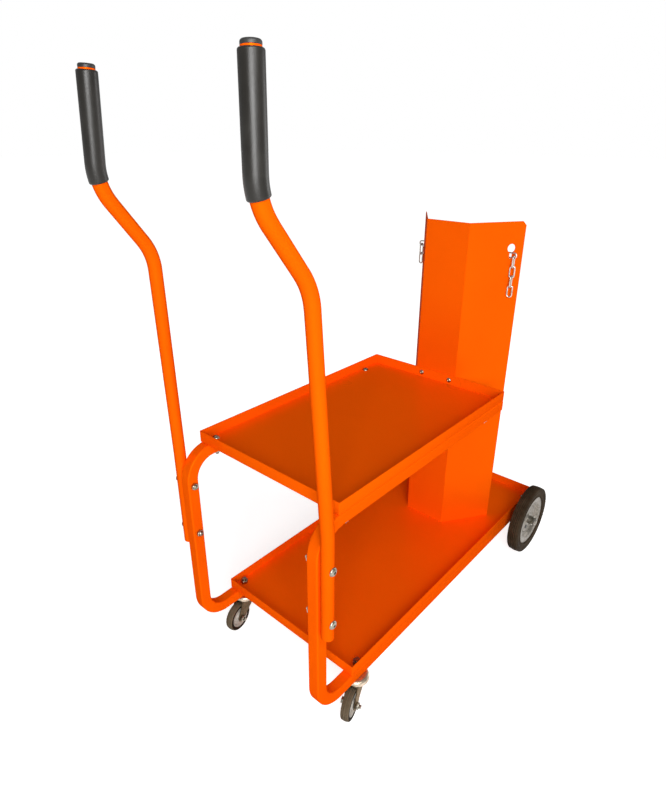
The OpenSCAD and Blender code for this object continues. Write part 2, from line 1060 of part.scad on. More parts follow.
module right_caster_axle_nut() {
    caster_axle_nut(1);
}

// Depth of the caster tyre's rubber, its rounding and its two grooves
caster_rubber = 10;
caster_shoulder = 3;
caster_groove_w = 1.2;
caster_groove_depth = 1.5;
// Walls of the core: setback beside the tyre, outer ring, ring round the bush, half of the web
core_inset = 1.5;
core_ring = 3;
core_eye = 4;
core_web = 3;
bush_wall = 2;
core_r = caster_d/2 - caster_rubber;
bush_r = caster_axle_d/2 + bush_wall;

module caster_tyre(side) {
    half = caster_w/2;
    color("#6b6258")
        at_caster_wheel(side, 0)
            rotate_extrude($fn = 72)
                difference() {
                    union() {
                        translate([core_r, -half])
                            square([caster_z - caster_shoulder - core_r, 2*half]);
                        translate([core_r, -half + caster_shoulder])
                            square([caster_z - core_r, 2*half - 2*caster_shoulder]);
                        for (s = [-1, 1])
                            translate([caster_z - caster_shoulder, s*(half - caster_shoulder)])
                                circle(r = caster_shoulder);
                    }
                    for (y = [-half/3, half/3])
                        translate([caster_z - caster_groove_depth, y - caster_groove_w/2])
                            square([caster_groove_depth + past, caster_groove_w]);
                }
}

module left_caster_tyre() {
    caster_tyre(-1);
}

module right_caster_tyre() {
    caster_tyre(1);
}

module caster_core(side) {
    half = caster_w/2 - core_inset;
    color("lightgray")
        at_caster_wheel(side, 0)
            rotate_extrude($fn = 72) {
                translate([core_r - core_ring, -half])
                    square([core_ring, 2*half]);
                translate([bush_r, -core_web])
                    square([core_r - lap - bush_r, 2*core_web]);
                translate([bush_r, -half])
                    square([core_eye, 2*half]);
            }
}

module left_caster_core() {
    caster_core(-1);
}

module right_caster_core() {
    caster_core(1);
}

module caster_bush(side) {
    color("dimgray")
        at_caster_wheel(side, -caster_hub_half)
            tube(bush_r, caster_axle_d/2 + run_gap, 2*caster_hub_half);
}

module left_caster_bush() {
    caster_bush(-1);
}

module right_caster_bush() {
    caster_bush(1);
}

// Chain

// One link about the origin, lying in the XZ plane with its length along Z
module link() {
    rotate([90, 0, 0]) {
        for (s = [0, 1])
            mirror([0, s, 0])
                translate([0, link_leg/2, 0])
                    rotate_extrude(angle = 180)
                        translate([link_r, 0])
                            circle(d = chain_wire, $fn = 24);
        for (x = [-link_r, link_r])
            translate([x, link_leg/2, 0])
                rotate([90, 0, 0])
                    cylinder(d = chain_wire, h = link_leg, $fn = 24);
    }
}

// The loop between the slots hangs in the XZ plane. Its even links lie across that plane and
// its odd links lie in it. The chain folds at the ends of the links that lie across.
function fold_len(i) = link_reach - (i % 2)*2*link_step;

// Direction of a link, from how steeply the loop rises from one link to the next
function fold_dir(i, steep) =
    let (rise = atan(steep*(i - (span_links - 1)/2)))
    [-cos(rise), 0, sin(rise)];

function loop_width(steep, i) =
    i < 0 ? 0 : -fold_len(i)*fold_dir(i, steep)[0] + loop_width(steep, i - 1);

// Steepness at which the loop just reaches from slot to slot, found by halving
function find_steep(low, high, tries) =
    let (mid = (low + high)/2)
    tries == 0 ? mid
    : loop_width(mid, span_links - 1) > 2*span_x ? find_steep(mid, high, tries - 1)
    : find_steep(low, mid, tries - 1);

steep = find_steep(0, 5, 40);

function fold_point(i) =
    i == 0 ? [span_x, slot_y, chain_z]
    : fold_point(i - 1) + fold_len(i - 1)*fold_dir(i - 1, steep);

module span_link(i) {
    way = fold_dir(i, steep);
    middle = (fold_point(i) + fold_point(i + 1))/2;
    translate(middle)
        rotate([0, atan2(way[0], way[2]), 0])
            rotate([0, 0, 90*((i + 1) % 2)])
                link();
}

module chain_span() {
    color("gainsboro") {
        for (i = [0:span_links - 1])
            span_link(i);
        at_both(slot_link_x - link_reach/2, slot_y, chain_z)
            rotate([0, 90, 0])
                link();
    }
}

// Loose end of the chain outside the right wing
module tail(links) {
    color("gainsboro")
        for (i = [0:links - 1])
            translate([tail_x, slot_y, tail_z - i*chain_pitch - link_reach/2])
                rotate([0, 0, wing_angle + (i % 2 == 0 ? link_turn : -link_turn)])
                    link();
}

module right_chain_tail() {
    tail(right_tail_links);
}

module left_chain_tail() {
    left()
        tail(left_tail_links);
}

lower_tray();
upper_tray();
cylinder_plate();
left_side_frame();
right_side_frame();
left_handle();
right_handle();
left_grip();
right_grip();
left_handle_cap();
right_handle_cap();
handle_bolts();
handle_nuts();
upper_tray_bolts();
upper_tray_nuts();
lower_tray_bolts();
lower_tray_nuts();
plate_screws();
plate_screw_nuts();
plate_foot_bolts();
plate_foot_nuts();
axle();
axle_spacers();
axle_washers();
axle_nuts();
left_wheel_tyre();
left_rim_outer();
left_rim_inner();
left_wheel_hub();
right_wheel_tyre();
right_rim_outer();
right_rim_inner();
right_wheel_hub();
left_caster_stem();
right_caster_stem();
caster_stem_nuts();
left_caster_head();
right_caster_head();
left_caster_balls();
right_caster_balls();
left_caster_fork();
right_caster_fork();
left_caster_axle();
right_caster_axle();
left_caster_axle_nut();
right_caster_axle_nut();
left_caster_tyre();
right_caster_tyre();
left_caster_core();
right_caster_core();
left_caster_bush();
right_caster_bush();
chain_span();
left_chain_tail();
right_chain_tail();
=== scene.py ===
# %% [markdown]
# # A welding trolley
#
# This lesson dresses a welding trolley for its picture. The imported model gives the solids: two
# sheet-steel trays on side frames of bent square tube, a folded plate for a gas cylinder, two
# handles, two fixed wheels and two swivel casters. The cells below add the parts whose small
# forms matter, such as the ribbed tyres and the stamped rims, and give each surface its finish.
#
# Lengths are in metres, apart from the sizes of profiles and small parts. Those are in millimetres
# and are multiplied by MM. X points to the right, Y points forwards and Z points up.

import json
import math

import bmesh
import bpy
from mathutils import Matrix, Vector


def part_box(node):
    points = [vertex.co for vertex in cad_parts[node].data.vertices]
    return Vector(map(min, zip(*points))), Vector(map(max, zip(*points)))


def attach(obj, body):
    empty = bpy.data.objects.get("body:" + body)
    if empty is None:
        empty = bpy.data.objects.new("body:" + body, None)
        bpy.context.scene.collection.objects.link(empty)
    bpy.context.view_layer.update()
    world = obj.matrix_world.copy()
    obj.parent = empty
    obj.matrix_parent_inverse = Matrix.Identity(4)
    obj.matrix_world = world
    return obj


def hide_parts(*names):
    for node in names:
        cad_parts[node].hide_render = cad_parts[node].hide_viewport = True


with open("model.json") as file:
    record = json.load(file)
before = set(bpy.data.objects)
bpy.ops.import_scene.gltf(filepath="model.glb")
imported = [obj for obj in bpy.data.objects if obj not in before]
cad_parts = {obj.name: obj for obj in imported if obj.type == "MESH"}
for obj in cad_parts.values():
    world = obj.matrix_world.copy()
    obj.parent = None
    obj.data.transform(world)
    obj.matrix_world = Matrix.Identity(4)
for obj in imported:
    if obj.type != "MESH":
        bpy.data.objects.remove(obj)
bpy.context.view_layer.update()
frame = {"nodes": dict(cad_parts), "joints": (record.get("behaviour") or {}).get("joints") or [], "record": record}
nodes = frame["nodes"]
joints = {joint["name"]: joint for joint in frame["joints"]}
print("nodes:", len(nodes), "joints:", len(joints))

MM = 0.001
SIDES = {"left": -1, "right": 1}


# %% [markdown]
# ## Camera
#
# The picture is taken from behind and to the right, a little below the tops of the grips, and looks
# down on the trays. A camera in Blender looks along its own -Z. Three turns point it: one about the
# upright, one down and a small roll. The focal length, in pixels, gives the lens for a sensor of
# this height, and two small shifts centre the picture.

# %% Point the camera
IMAGE_W = 666
IMAGE_H = 800
CAMERA_PLACE = Vector((0.6915, -0.964, 1.1109))
CAMERA_YAW = math.radians(41.605)
CAMERA_PITCH = math.radians(24.245)
CAMERA_ROLL = math.radians(0.034)
FOCAL_PIXELS = 572.34
CENTRE_X = 328.6
CENTRE_Y = 390.28
SENSOR = 36.0
VIEW_END = 50.0

camera_data = bpy.data.cameras.new("studio_camera")
camera = bpy.data.objects.new("studio_camera", camera_data)
bpy.context.scene.collection.objects.link(camera)
bpy.context.scene.camera = camera
camera_data.sensor_fit = "VERTICAL"
camera_data.sensor_height = SENSOR
camera_data.lens = FOCAL_PIXELS/IMAGE_H*SENSOR
camera_data.shift_x = (IMAGE_W/2 - CENTRE_X)/IMAGE_H
camera_data.shift_y = (CENTRE_Y - IMAGE_H/2)/IMAGE_H
camera_data.clip_end = VIEW_END
camera.matrix_world = (
    Matrix.Translation(CAMERA_PLACE)
    @ Matrix.Rotation(CAMERA_YAW, 4, "Z")
    @ Matrix.Rotation(math.pi/2 - CAMERA_PITCH, 4, "X")
    @ Matrix.Rotation(CAMERA_ROLL, 4, "Z")
)
print("lens", round(camera_data.lens, 2), "mm")


# %% [markdown]
# ## Shared effects
#
# A finish is more than one colour. Each effect below is a node group: a small network with named
# inputs and outputs that several materials can use. They all read Object coordinates, which are
# metres on the piece itself, so a pattern keeps its size and stays put when the piece moves.

# %% Nodes and links
def add_node(tree, kind, **settings):
    made = tree.nodes.new(kind)
    for key, value in settings.items():
        setattr(made, key, value)
    return made


def feed(tree, socket, source):
    """Links source to socket, or sets it where source is a plain value."""
    if isinstance(source, bpy.types.NodeSocket):
        tree.links.new(source, socket)
    else:
        socket.default_value = source


def math_node(tree, operation, *terms):
    made = add_node(tree, "ShaderNodeMath", operation=operation)
    for socket, term in zip(made.inputs, terms):
        feed(tree, socket, term)
    return made.outputs[0]


def noise(tree, place, scale, detail=3.0, roughness=0.55):
    made = add_node(tree, "ShaderNodeTexNoise")
    feed(tree, made.inputs["Vector"], place)
    feed(tree, made.inputs["Scale"], scale)
    made.inputs["Detail"].default_value = detail
    made.inputs["Roughness"].default_value = roughness
    return made.outputs["Fac"]


def remap(tree, value, low, high, to_low=0.0, to_high=1.0):
    made = add_node(tree, "ShaderNodeMapRange")
    for label, number in (
        ("Value", value), ("From Min", low), ("From Max", high),
        ("To Min", to_low), ("To Max", to_high),
    ):
        feed(tree, made.inputs[label], number)
    return made.outputs["Result"]


def mix_colour(tree, amount, first, second):
    made = add_node(tree, "ShaderNodeMix", data_type="RGBA")
    feed(tree, made.inputs["Factor"], amount)
    feed(tree, made.inputs["A"], first)
    feed(tree, made.inputs["B"], second)
    return made.outputs["Result"]


# %% Start and end a group
FINISH_OUTPUTS = (
    ("Colour", "NodeSocketColor"), ("Roughness", "NodeSocketFloat"), ("Height", "NodeSocketFloat"),
)


def start_group(name, inputs):
    """A group with inputs, each a label, a kind and a value, and the outputs of a finish."""
    group = bpy.data.node_groups.new(name, "ShaderNodeTree")
    for label, kind, value in inputs:
        socket = group.interface.new_socket(name=label, in_out="INPUT", socket_type=kind)
        socket.default_value = value
    for label, kind in FINISH_OUTPUTS:
        group.interface.new_socket(name=label, in_out="OUTPUT", socket_type=kind)
    return group, group.nodes.new("NodeGroupInput"), group.nodes.new("NodeGroupOutput")


def end_group(tree, out, *results):
    """Sends a colour, a roughness and a height, in that order, to the group's outputs."""
    for (label, _), result in zip(FINISH_OUTPUTS, results):
        feed(tree, out.inputs[label], result)
    print("group", tree.name, "with", len(tree.nodes), "nodes")


# %% [markdown]
# ### Powder coat
#
# Powder is sprayed on dry and melted in an oven. It flows into a thick glossy skin with a faint
# dimpled surface, like the skin of an orange. The group gives that height, and a slow drift in
# colour and in gloss.

# %% Powder coat group
DRIFT_SCALE = 5.0
RIPPLE_SCALE = 90.0
RIPPLE_SHARE = 0.6


def make_powder_group():
    tree, inside, out = start_group(
        "powder_coat",
        [
            ("Colour", "NodeSocketColor", (0.9, 0.1, 0.0, 1.0)),
            ("Deep Colour", "NodeSocketColor", (0.7, 0.06, 0.0, 1.0)),
            ("Dimple Scale", "NodeSocketFloat", 700.0),
            ("Roughness", "NodeSocketFloat", 0.3),
        ],
    )
    place = add_node(tree, "ShaderNodeTexCoord").outputs["Object"]
    drift = noise(tree, place, DRIFT_SCALE, detail=2.0)
    dimples = noise(tree, place, inside.outputs["Dimple Scale"], detail=1.5)
    ripples = noise(tree, place, RIPPLE_SCALE, detail=2.0)
    depth = remap(tree, drift, low=0.35, high=0.7, to_high=0.35)
    colour = mix_colour(tree, depth, inside.outputs["Colour"], inside.outputs["Deep Colour"])
    change = remap(tree, drift, low=0.3, high=0.7, to_low=-0.03, to_high=0.04)
    rough = math_node(tree, "ADD", inside.outputs["Roughness"], change)
    height = math_node(tree, "ADD", math_node(tree, "MULTIPLY", ripples, RIPPLE_SHARE), dimples)
    end_group(tree, out, colour, rough, height)
    return tree


powder_group = make_powder_group()


# %% [markdown]
# ### Plated steel
#
# Zinc plating is a thin bright layer with small cloudy patches. Under a lens it also has fine
# rubbing marks from the tumbling barrel. The group shifts colour and roughness in patches, and
# its height is a very fine noise for the marks.

# %% Plated steel group
RUBBING_SCALE = 1600.0


def make_plating_group():
    tree, inside, out = start_group(
        "plated_steel",
        [
            ("Colour", "NodeSocketColor", (0.75, 0.75, 0.73, 1.0)),
            ("Cloud Colour", "NodeSocketColor", (0.55, 0.57, 0.6, 1.0)),
            ("Cloud Scale", "NodeSocketFloat", 120.0),
            ("Roughness", "NodeSocketFloat", 0.25),
        ],
    )
    place = add_node(tree, "ShaderNodeTexCoord").outputs["Object"]
    clouds = noise(tree, place, inside.outputs["Cloud Scale"], detail=4.0)
    rubbing = noise(tree, place, RUBBING_SCALE)
    patches = remap(tree, clouds, low=0.35, high=0.65)
    colour = mix_colour(tree, patches, inside.outputs["Colour"], inside.outputs["Cloud Colour"])
    change = remap(tree, clouds, low=0.3, high=0.7, to_low=-0.06, to_high=0.1)
    rough = math_node(tree, "ADD", inside.outputs["Roughness"], change)
    end_group(tree, out, colour, rough, rubbing)
    return tree


plating_group = make_plating_group()


# %% [markdown]
# ### Rubber and foam
#
# Moulded rubber is a dull skin with a fine grain and a little dust in it. Foam is the same idea
# at a coarser scale: its cut cells show as tiny pits. One group serves both, with a scale for
# the grain and a strength for the dust.

# %% Grained skin group
DUST_SCALE = 28.0
DUST_ROUGHNESS = 0.15


def make_skin_group():
    tree, inside, out = start_group(
        "grained_skin",
        [
            ("Colour", "NodeSocketColor", (0.04, 0.04, 0.04, 1.0)),
            ("Dust Colour", "NodeSocketColor", (0.12, 0.11, 0.1, 1.0)),
            ("Dust", "NodeSocketFloat", 0.5),
            ("Grain Scale", "NodeSocketFloat", 900.0),
            ("Roughness", "NodeSocketFloat", 0.7),
        ],
    )
    place = add_node(tree, "ShaderNodeTexCoord").outputs["Object"]
    patches = remap(tree, noise(tree, place, DUST_SCALE, detail=5.0), low=0.4, high=0.75)
    dust = math_node(tree, "MULTIPLY", patches, inside.outputs["Dust"])
    cells = add_node(tree, "ShaderNodeTexVoronoi")
    feed(tree, cells.inputs["Vector"], place)
    feed(tree, cells.inputs["Scale"], inside.outputs["Grain Scale"])
    pits = remap(tree, cells.outputs["Distance"], low=0.0, high=0.5)
    grain = math_node(tree, "ADD", pits, noise(tree, place, inside.outputs["Grain Scale"]))
    colour = mix_colour(tree, dust, inside.outputs["Colour"], inside.outputs["Dust Colour"])
    change = math_node(tree, "MULTIPLY", dust, DUST_ROUGHNESS)
    rough = math_node(tree, "ADD", inside.outputs["Roughness"], change)
    end_group(tree, out, colour, rough, grain)
    return tree


skin_group = make_skin_group()


# %% [markdown]
# ## Materials
#
# Each material places one group with its own values in front of the shader. What is the same
# all over, such as how metallic it is, is set on the shader itself. A plain shader adds a white
# sheen where a surface is seen at a flat angle, and on strong orange paint that looks pink. The
# paint has that sheen switched off. A small metallic share with an orange tint takes its place.

# %% One way to make a material from a group
def full_value(value):
    """A colour gets its alpha of 1. Any other value stays as it is."""
    return (*value, 1.0) if isinstance(value, tuple) else value


def make_material(name, group, values, bump, depth, **shader_values):
    material = bpy.data.materials.new(name)
    material.use_nodes = True
    tree = material.node_tree
    shader = tree.nodes["Principled BSDF"]
    effect = add_node(tree, "ShaderNodeGroup", node_tree=group)
    for label, value in values.items():
        effect.inputs[label].default_value = full_value(value)
    tree.links.new(effect.outputs["Colour"], shader.inputs["Base Color"])
    tree.links.new(effect.outputs["Roughness"], shader.inputs["Roughness"])
    bump_node = add_node(tree, "ShaderNodeBump")
    bump_node.inputs["Strength"].default_value = bump
    bump_node.inputs["Distance"].default_value = depth
    tree.links.new(effect.outputs["Height"], bump_node.inputs["Height"])
    tree.links.new(bump_node.outputs["Normal"], shader.inputs["Normal"])
    for label, value in shader_values.items():
        shader.inputs[label.replace("_", " ")].default_value = full_value(value)
    return material


orange_paint = make_material(
    "orange_powder_coat", powder_group,
    {"Colour": (0.95, 0.115, 0.001), "Deep Colour": (0.9, 0.095, 0.001), "Roughness": 0.3},
    bump=0.08, depth=0.0004, Specular_IOR_Level=0.0, Metallic=0.16,
    Specular_Tint=(1.0, 0.2, 0.01),
)
zinc = make_material(
    "bright_zinc", plating_group,
    {"Colour": (0.4, 0.375, 0.3), "Cloud Colour": (0.23, 0.215, 0.175), "Roughness": 0.26},
    bump=0.05, depth=0.0002, Metallic=1.0,
)
dull_zinc = make_material(
    "dull_zinc", plating_group,
    {"Colour": (0.36, 0.34, 0.3), "Cloud Colour": (0.24, 0.225, 0.2), "Roughness": 0.34},
    bump=0.06, depth=0.0002, Metallic=1.0,
)
warm_zinc = make_material(
    "warm_zinc", plating_group,
    {"Colour": (0.7, 0.6, 0.47), "Cloud Colour": (0.42, 0.35, 0.26), "Roughness": 0.3},
    bump=0.06, depth=0.0002, Metallic=1.0,
)
chain_zinc = make_material(
    "chain_zinc", plating_group,
    {"Colour": (0.66, 0.63, 0.57), "Cloud Colour": (0.42, 0.4, 0.36), "Roughness": 0.28},
    bump=0.05, depth=0.0002, Metallic=1.0,
)
fork_plate = make_material(
    "dull_plated_steel", plating_group,
    {"Colour": (0.13, 0.09, 0.05), "Cloud Colour": (0.07, 0.047, 0.025), "Roughness": 0.38},
    bump=0.08, depth=0.0002, Metallic=0.6, Specular_Tint=(1.0, 0.8, 0.55),
)
rim_paint = make_material(
    "silver_rim_paint", plating_group,
    {"Colour": (0.33, 0.3, 0.26), "Cloud Colour": (0.19, 0.17, 0.14), "Cloud Scale": 260.0,
     "Roughness": 0.34},
    bump=0.16, depth=0.0003, Metallic=0.85,
)
tyre_rubber = make_material(
    "black_tyre_rubber", skin_group,
    {"Colour": (0.036, 0.0225, 0.0125), "Dust Colour": (0.11, 0.08, 0.05), "Roughness": 0.45},
    bump=0.2, depth=0.0004, Specular_IOR_Level=0.01,
)
caster_rubber = make_material(
    "grey_caster_rubber", skin_group,
    {"Colour": (0.12, 0.09, 0.056), "Dust Colour": (0.21, 0.165, 0.115), "Roughness": 0.5},
    bump=0.2, depth=0.0003, Specular_IOR_Level=0.02,
)
# Painted shade: the caster rubber made much darker, for the rings that stand in for the shade on a caster wheel's
# sides.
painted_shade_rubber = make_material(
    "painted_shade_side_rubber", skin_group,
    {"Colour": (0.018, 0.0105, 0.0055), "Dust Colour": (0.04, 0.027, 0.017), "Roughness": 0.5},
    bump=0.15, depth=0.0003, Specular_IOR_Level=0.01,
)
grip_foam = make_material(
    "grip_foam", skin_group,
    {"Colour": (0.012, 0.0105, 0.0085), "Dust Colour": (0.026, 0.024, 0.02),
     "Grain Scale": 1300.0, "Roughness": 0.3},
    bump=0.18, depth=0.0004, Specular_IOR_Level=0.4,
)
black_plastic = make_material(
    "black_moulded_plastic", skin_group,
    {"Colour": (0.018, 0.018, 0.018), "Dust": 0.2, "Roughness": 0.42}, bump=0.08, depth=0.0002,
)
core_plastic = make_material(
    "pale_core_plastic", skin_group,
    {"Colour": (0.44, 0.405, 0.35), "Dust Colour": (0.26, 0.23, 0.19), "Roughness": 0.42},
    bump=0.08, depth=0.0002,
)
print("materials:", len(bpy.data.materials))


# %% [markdown]
# ## Finish the plain solids
#
# Many solids already have the right shape: the square tubes, the handle tubes, the folded plate
# and the links of the chain. They keep their meshes and only take a finish.

# %% Give the frame's nodes their finish
SLOT_FINISH = {
    "orange_paint": orange_paint, "zinc": zinc, "chain_zinc": chain_zinc, "rim_silver": rim_paint,
    "black_tyre": tyre_rubber, "grey_rubber": caster_rubber, "foam_grip": grip_foam,
    "black_plastic": black_plastic, "fork_steel": fork_plate, "core_grey": core_plastic,
}
for subpart in frame["record"]["subparts"]:
    mesh = nodes[subpart["node"]].data
    mesh.materials.clear()
    mesh.materials.append(SLOT_FINISH[subpart["material_slot"]])


# %% [markdown]
# ## Tools for turned and stacked pieces
#
# Most of the small parts are round or hexagonal. A round part is a profile spun about an axis.
# A part that changes from round to hexagonal, such as a nut with chamfered corners, is a stack
# of rings with the same number of corners, joined ring to ring.

# %% Spin a profile about Z
MERGE_REACH = 1e-7


def spun(profile, steps=96, closed=True):
    """A solid of revolution. profile is a list of (radius, height) in millimetres."""
    shape = bmesh.new()
    corners = [shape.verts.new((r*MM, 0.0, z*MM)) for r, z in profile]
    pairs = list(zip(corners, corners[1:]))
    if closed:
        pairs.append((corners[-1], corners[0]))
    for a, b in pairs:
        shape.edges.new((a, b))
    bmesh.ops.spin(
        shape, geom=shape.verts[:] + shape.edges[:], cent=(0, 0, 0), axis=(0, 0, 1),
        dvec=(0, 0, 0), angle=2*math.pi, steps=steps, use_merge=True, use_duplicate=False,
    )
    bmesh.ops.remove_doubles(shape, verts=shape.verts[:], dist=MERGE_REACH)
    bmesh.ops.recalc_face_normals(shape, faces=shape.faces[:])
    return shape


# %% Stack rings along Z
RING_CORNERS = 24


def stacked(rings, loop=False):
    """rings is a list of (radius, height, is_hexagon) in millimetres; a hexagon's radius is half
    the width across its flats. loop joins the last ring to the first, which leaves a bore."""
    shape = bmesh.new()
    loops = []
    for radius, height, is_hexagon in rings:
        made = bmesh.ops.create_circle(
            shape, cap_ends=False, radius=radius*MM, segments=RING_CORNERS,
            matrix=Matrix.Translation((0, 0, height*MM)),
        )["verts"]
        if is_hexagon:
            for corner in made:
                turn = math.atan2(corner.co.y, corner.co.x) % (math.pi/3) - math.pi/6
                corner.co.x /= math.cos(turn)
                corner.co.y /= math.cos(turn)
        loops.append(list({edge for corner in made for edge in corner.link_edges}))
    joins = list(zip(loops, loops[1:]))
    if loop:
        joins.append((loops[-1], loops[0]))
    for first, second in joins:
        bmesh.ops.bridge_loops(shape, edges=first + second)
    if not loop:
        bmesh.ops.holes_fill(shape, edges=loops[0] + loops[-1], sides=RING_CORNERS)
    bmesh.ops.recalc_face_normals(shape, faces=shape.faces[:])
    return shape


# %% Put a finished shape into the scene
SHARP_ANGLE = math.radians(32)


def finish_piece(name, shapes, material, body, replaced=()):
    """Joins shapes, which are pairs of bmesh and placing matrix, into one piece on a body."""
    joined = bmesh.new()
    for shape, place in shapes:
        moved = shape.copy()
        bmesh.ops.transform(moved, matrix=place, verts=moved.verts[:])
        part = bpy.data.meshes.new(name)
        moved.to_mesh(part)
        joined.from_mesh(part)
        bpy.data.meshes.remove(part)
        moved.free()
    mesh = bpy.data.meshes.new(name)
    joined.to_mesh(mesh)
    joined.free()
    for face in mesh.polygons:
        face.use_smooth = True
    mesh.set_sharp_from_angle(angle=SHARP_ANGLE)
    mesh.materials.append(material)
    piece = bpy.data.objects.new(name, mesh)
    bpy.context.scene.collection.objects.link(piece)
    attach(piece, body)
    if replaced:
        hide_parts(*replaced)
    print(name, len(mesh.polygons), "faces")
    return piece


def lying_along_x(place, flip=False):
    """A matrix that lays a shape's Z along X, or along -X when flip is set."""
    return Matrix.Translation(place) @ Matrix.Rotation(math.pi/2*(-1 if flip else 1), 4, "Y")


def arc(centre_r, centre_z, radius, start, end, steps=6):
    """Points of an arc in a profile, from one angle to another in degrees."""
    points = []
    for i in range(steps + 1):
        turn = math.radians(start + (end - start)*i/steps)
        points.append((centre_r + radius*math.cos(turn), centre_z + radius*math.sin(turn)))
    return points


# %% [markdown]
# ## Fixed wheels
#
# A fixed wheel is a solid rubber tyre on a rim that is pressed from two steel discs. The tyre
# has ribs round its tread, a rounded shoulder and a raised ring on its side. Its outline is
# drawn for one half and mirrored, which keeps both sides alike.

# %% Tyre of a fixed wheel
TREAD_R = 97.5
TYRE_HALF = 15.0
FOOT_R = 61.1
FOOT_HALF = 10.2
GROOVES = (2.6, 7.4)
GROOVE_DEPTH = 2.2
GROOVE_TOP = 0.9
GROOVE_FLOOR = 0.6
TREAD_FALL = 0.012
SHOULDER = (TREAD_R - 3.4, TYRE_HALF - 3.5)
SIDE_WALL = [
    (91.4, 14.1), (89.8, 14.0), (88.6, 14.6), (87.6, TYRE_HALF), (85.8, TYRE_HALF), (84.8, 14.6),
    (82.0, 14.1), (74.2, 13.9), (73.0, 14.6), (71.4, 14.5), (70.1, 13.2), (69.8, FOOT_HALF),
]


def mirrored(half):
    """Both halves of a profile. The first and the last point of half lie on the mirror line."""
    return half + [(r, -z) for r, z in reversed(half[1:-1])]


def tyre_profile():
    half = [(TREAD_R, 0.0)]
    for groove in GROOVES:
        crown = TREAD_R - TREAD_FALL*groove*groove
        bottom = crown - GROOVE_DEPTH
        half += [
            (crown, groove - GROOVE_TOP), (bottom, groove - GROOVE_FLOOR),
            (bottom, groove + GROOVE_FLOOR), (crown, groove + GROOVE_TOP),
        ]
    half += arc(*SHOULDER, radius=2.4, start=75, end=20, steps=4)
    half += SIDE_WALL + [(FOOT_R, FOOT_HALF), (FOOT_R, 0.0)]
    return mirrored(half)


tyre_shape = spun(tyre_profile(), steps=144)
for side in SIDES:
    centre = Vector(joints[side + "_wheel_spin"]["pos_m"])
    finish_piece(
        side + "_tyre", [(tyre_shape, lying_along_x(centre))], tyre_rubber,
        side + "_wheel", [side + "_wheel_tyre"],
    )

# %% [markdown]
# Each half of the rim is sheet steel pressed into a shallow dish. From the hub outwards it has a
# raised collar, a flat web with one stiffening ring, a sloping wall, and a flange that holds the
# tyre. A closed profile of even thickness spins into real sheet, not a solid disc.

# %% Rim halves
RIM_SHEET = 1.3
RIM_FACE = [
    (12.1, 6.4), (15.4, 6.4), (17.0, 5.8), (18.6, 3.2), (20.6, 1.8), (24.0, 1.5), (31.0, 1.5),
    (32.6, 2.0), (34.2, 3.6), (36.0, 4.1), (37.8, 3.8), (39.4, 2.2), (41.0, 1.5), (44.0, 1.5),
    (46.4, 1.8), (48.4, 3.0), (52.4, 8.0), (54.6, 10.2), (57.2, 11.4), (60.4, 11.8), (68.2, 12.0),
    (69.2, 11.7), (69.5, 11.2),
]
rim_half = spun(RIM_FACE + [(r, z - RIM_SHEET) for r, z in reversed(RIM_FACE)], steps=120)
for side, sign in SIDES.items():
    centre = Vector(joints[side + "_wheel_spin"]["pos_m"])
    for name, outward in (("outer", sign > 0), ("inner", sign < 0)):
        finish_piece(
            side + "_rim_disc_" + name, [(rim_half, lying_along_x(centre, flip=not outward))],
            rim_paint, side + "_wheel", [side + "_rim_" + name],
        )

# %% [markdown]
# The hub is a tube that turns on the axle, and a nut sits outside it. The rim also has a round hole
# with a dark plastic plug, low on its web.

# %% Hub and plug
HUB_HALF = 14.8
HUB_R = 12.0
HUB_BORE = 6.06
HUB_EDGE = 0.8
HUB_RECESS = 8.2
hub_shape = spun(
    [
        (HUB_BORE, -HUB_HALF), (HUB_R - HUB_EDGE, -HUB_HALF), (HUB_R, -HUB_HALF + HUB_EDGE),
        (HUB_R, HUB_HALF - HUB_EDGE), (HUB_R - HUB_EDGE, HUB_HALF), (HUB_RECESS + 0.4, HUB_HALF),
        (HUB_RECESS, HUB_HALF - HUB_EDGE), (HUB_BORE, HUB_HALF - HUB_EDGE),
    ],
    steps=48,
)
PLUG_FACE = [(0.0, 3.6), (3.4, 3.6), (4.8, 3.1), (5.4, 2.2), (5.5, 1.5), (5.5, 0.2), (0.0, 0.2)]
PLUG_PLACE = Vector((0.0, -4.0*MM, -25.5*MM))
plug_shape = spun(PLUG_FACE, steps=32, closed=False)

# %% A hexagon nut
NUT_FLAT = 0.8
NUT_FACE = 0.96*NUT_FLAT
BORE_EDGE = 0.06
NUT_CHAMFER = 1.6*BORE_EDGE


def nut_shape(thread, height):
    """A chamfered hexagon nut with a bore, standing on Z = 0. Sizes are in millimetres, and the
    constants above are shares of the thread's diameter."""
    flat = NUT_FLAT*thread
    face = NUT_FACE*thread
    bore = thread/2
    edge = BORE_EDGE*thread
    chamfer = NUT_CHAMFER*thread
    return stacked(
        [
            (bore + edge, 0, False), (face, 0, False), (flat, chamfer, True),
            (flat, height - chamfer, True), (face, height, False),
            (bore + edge, height, False), (bore, height - edge, False), (bore, edge, False),
        ],
        loop=True,
    )


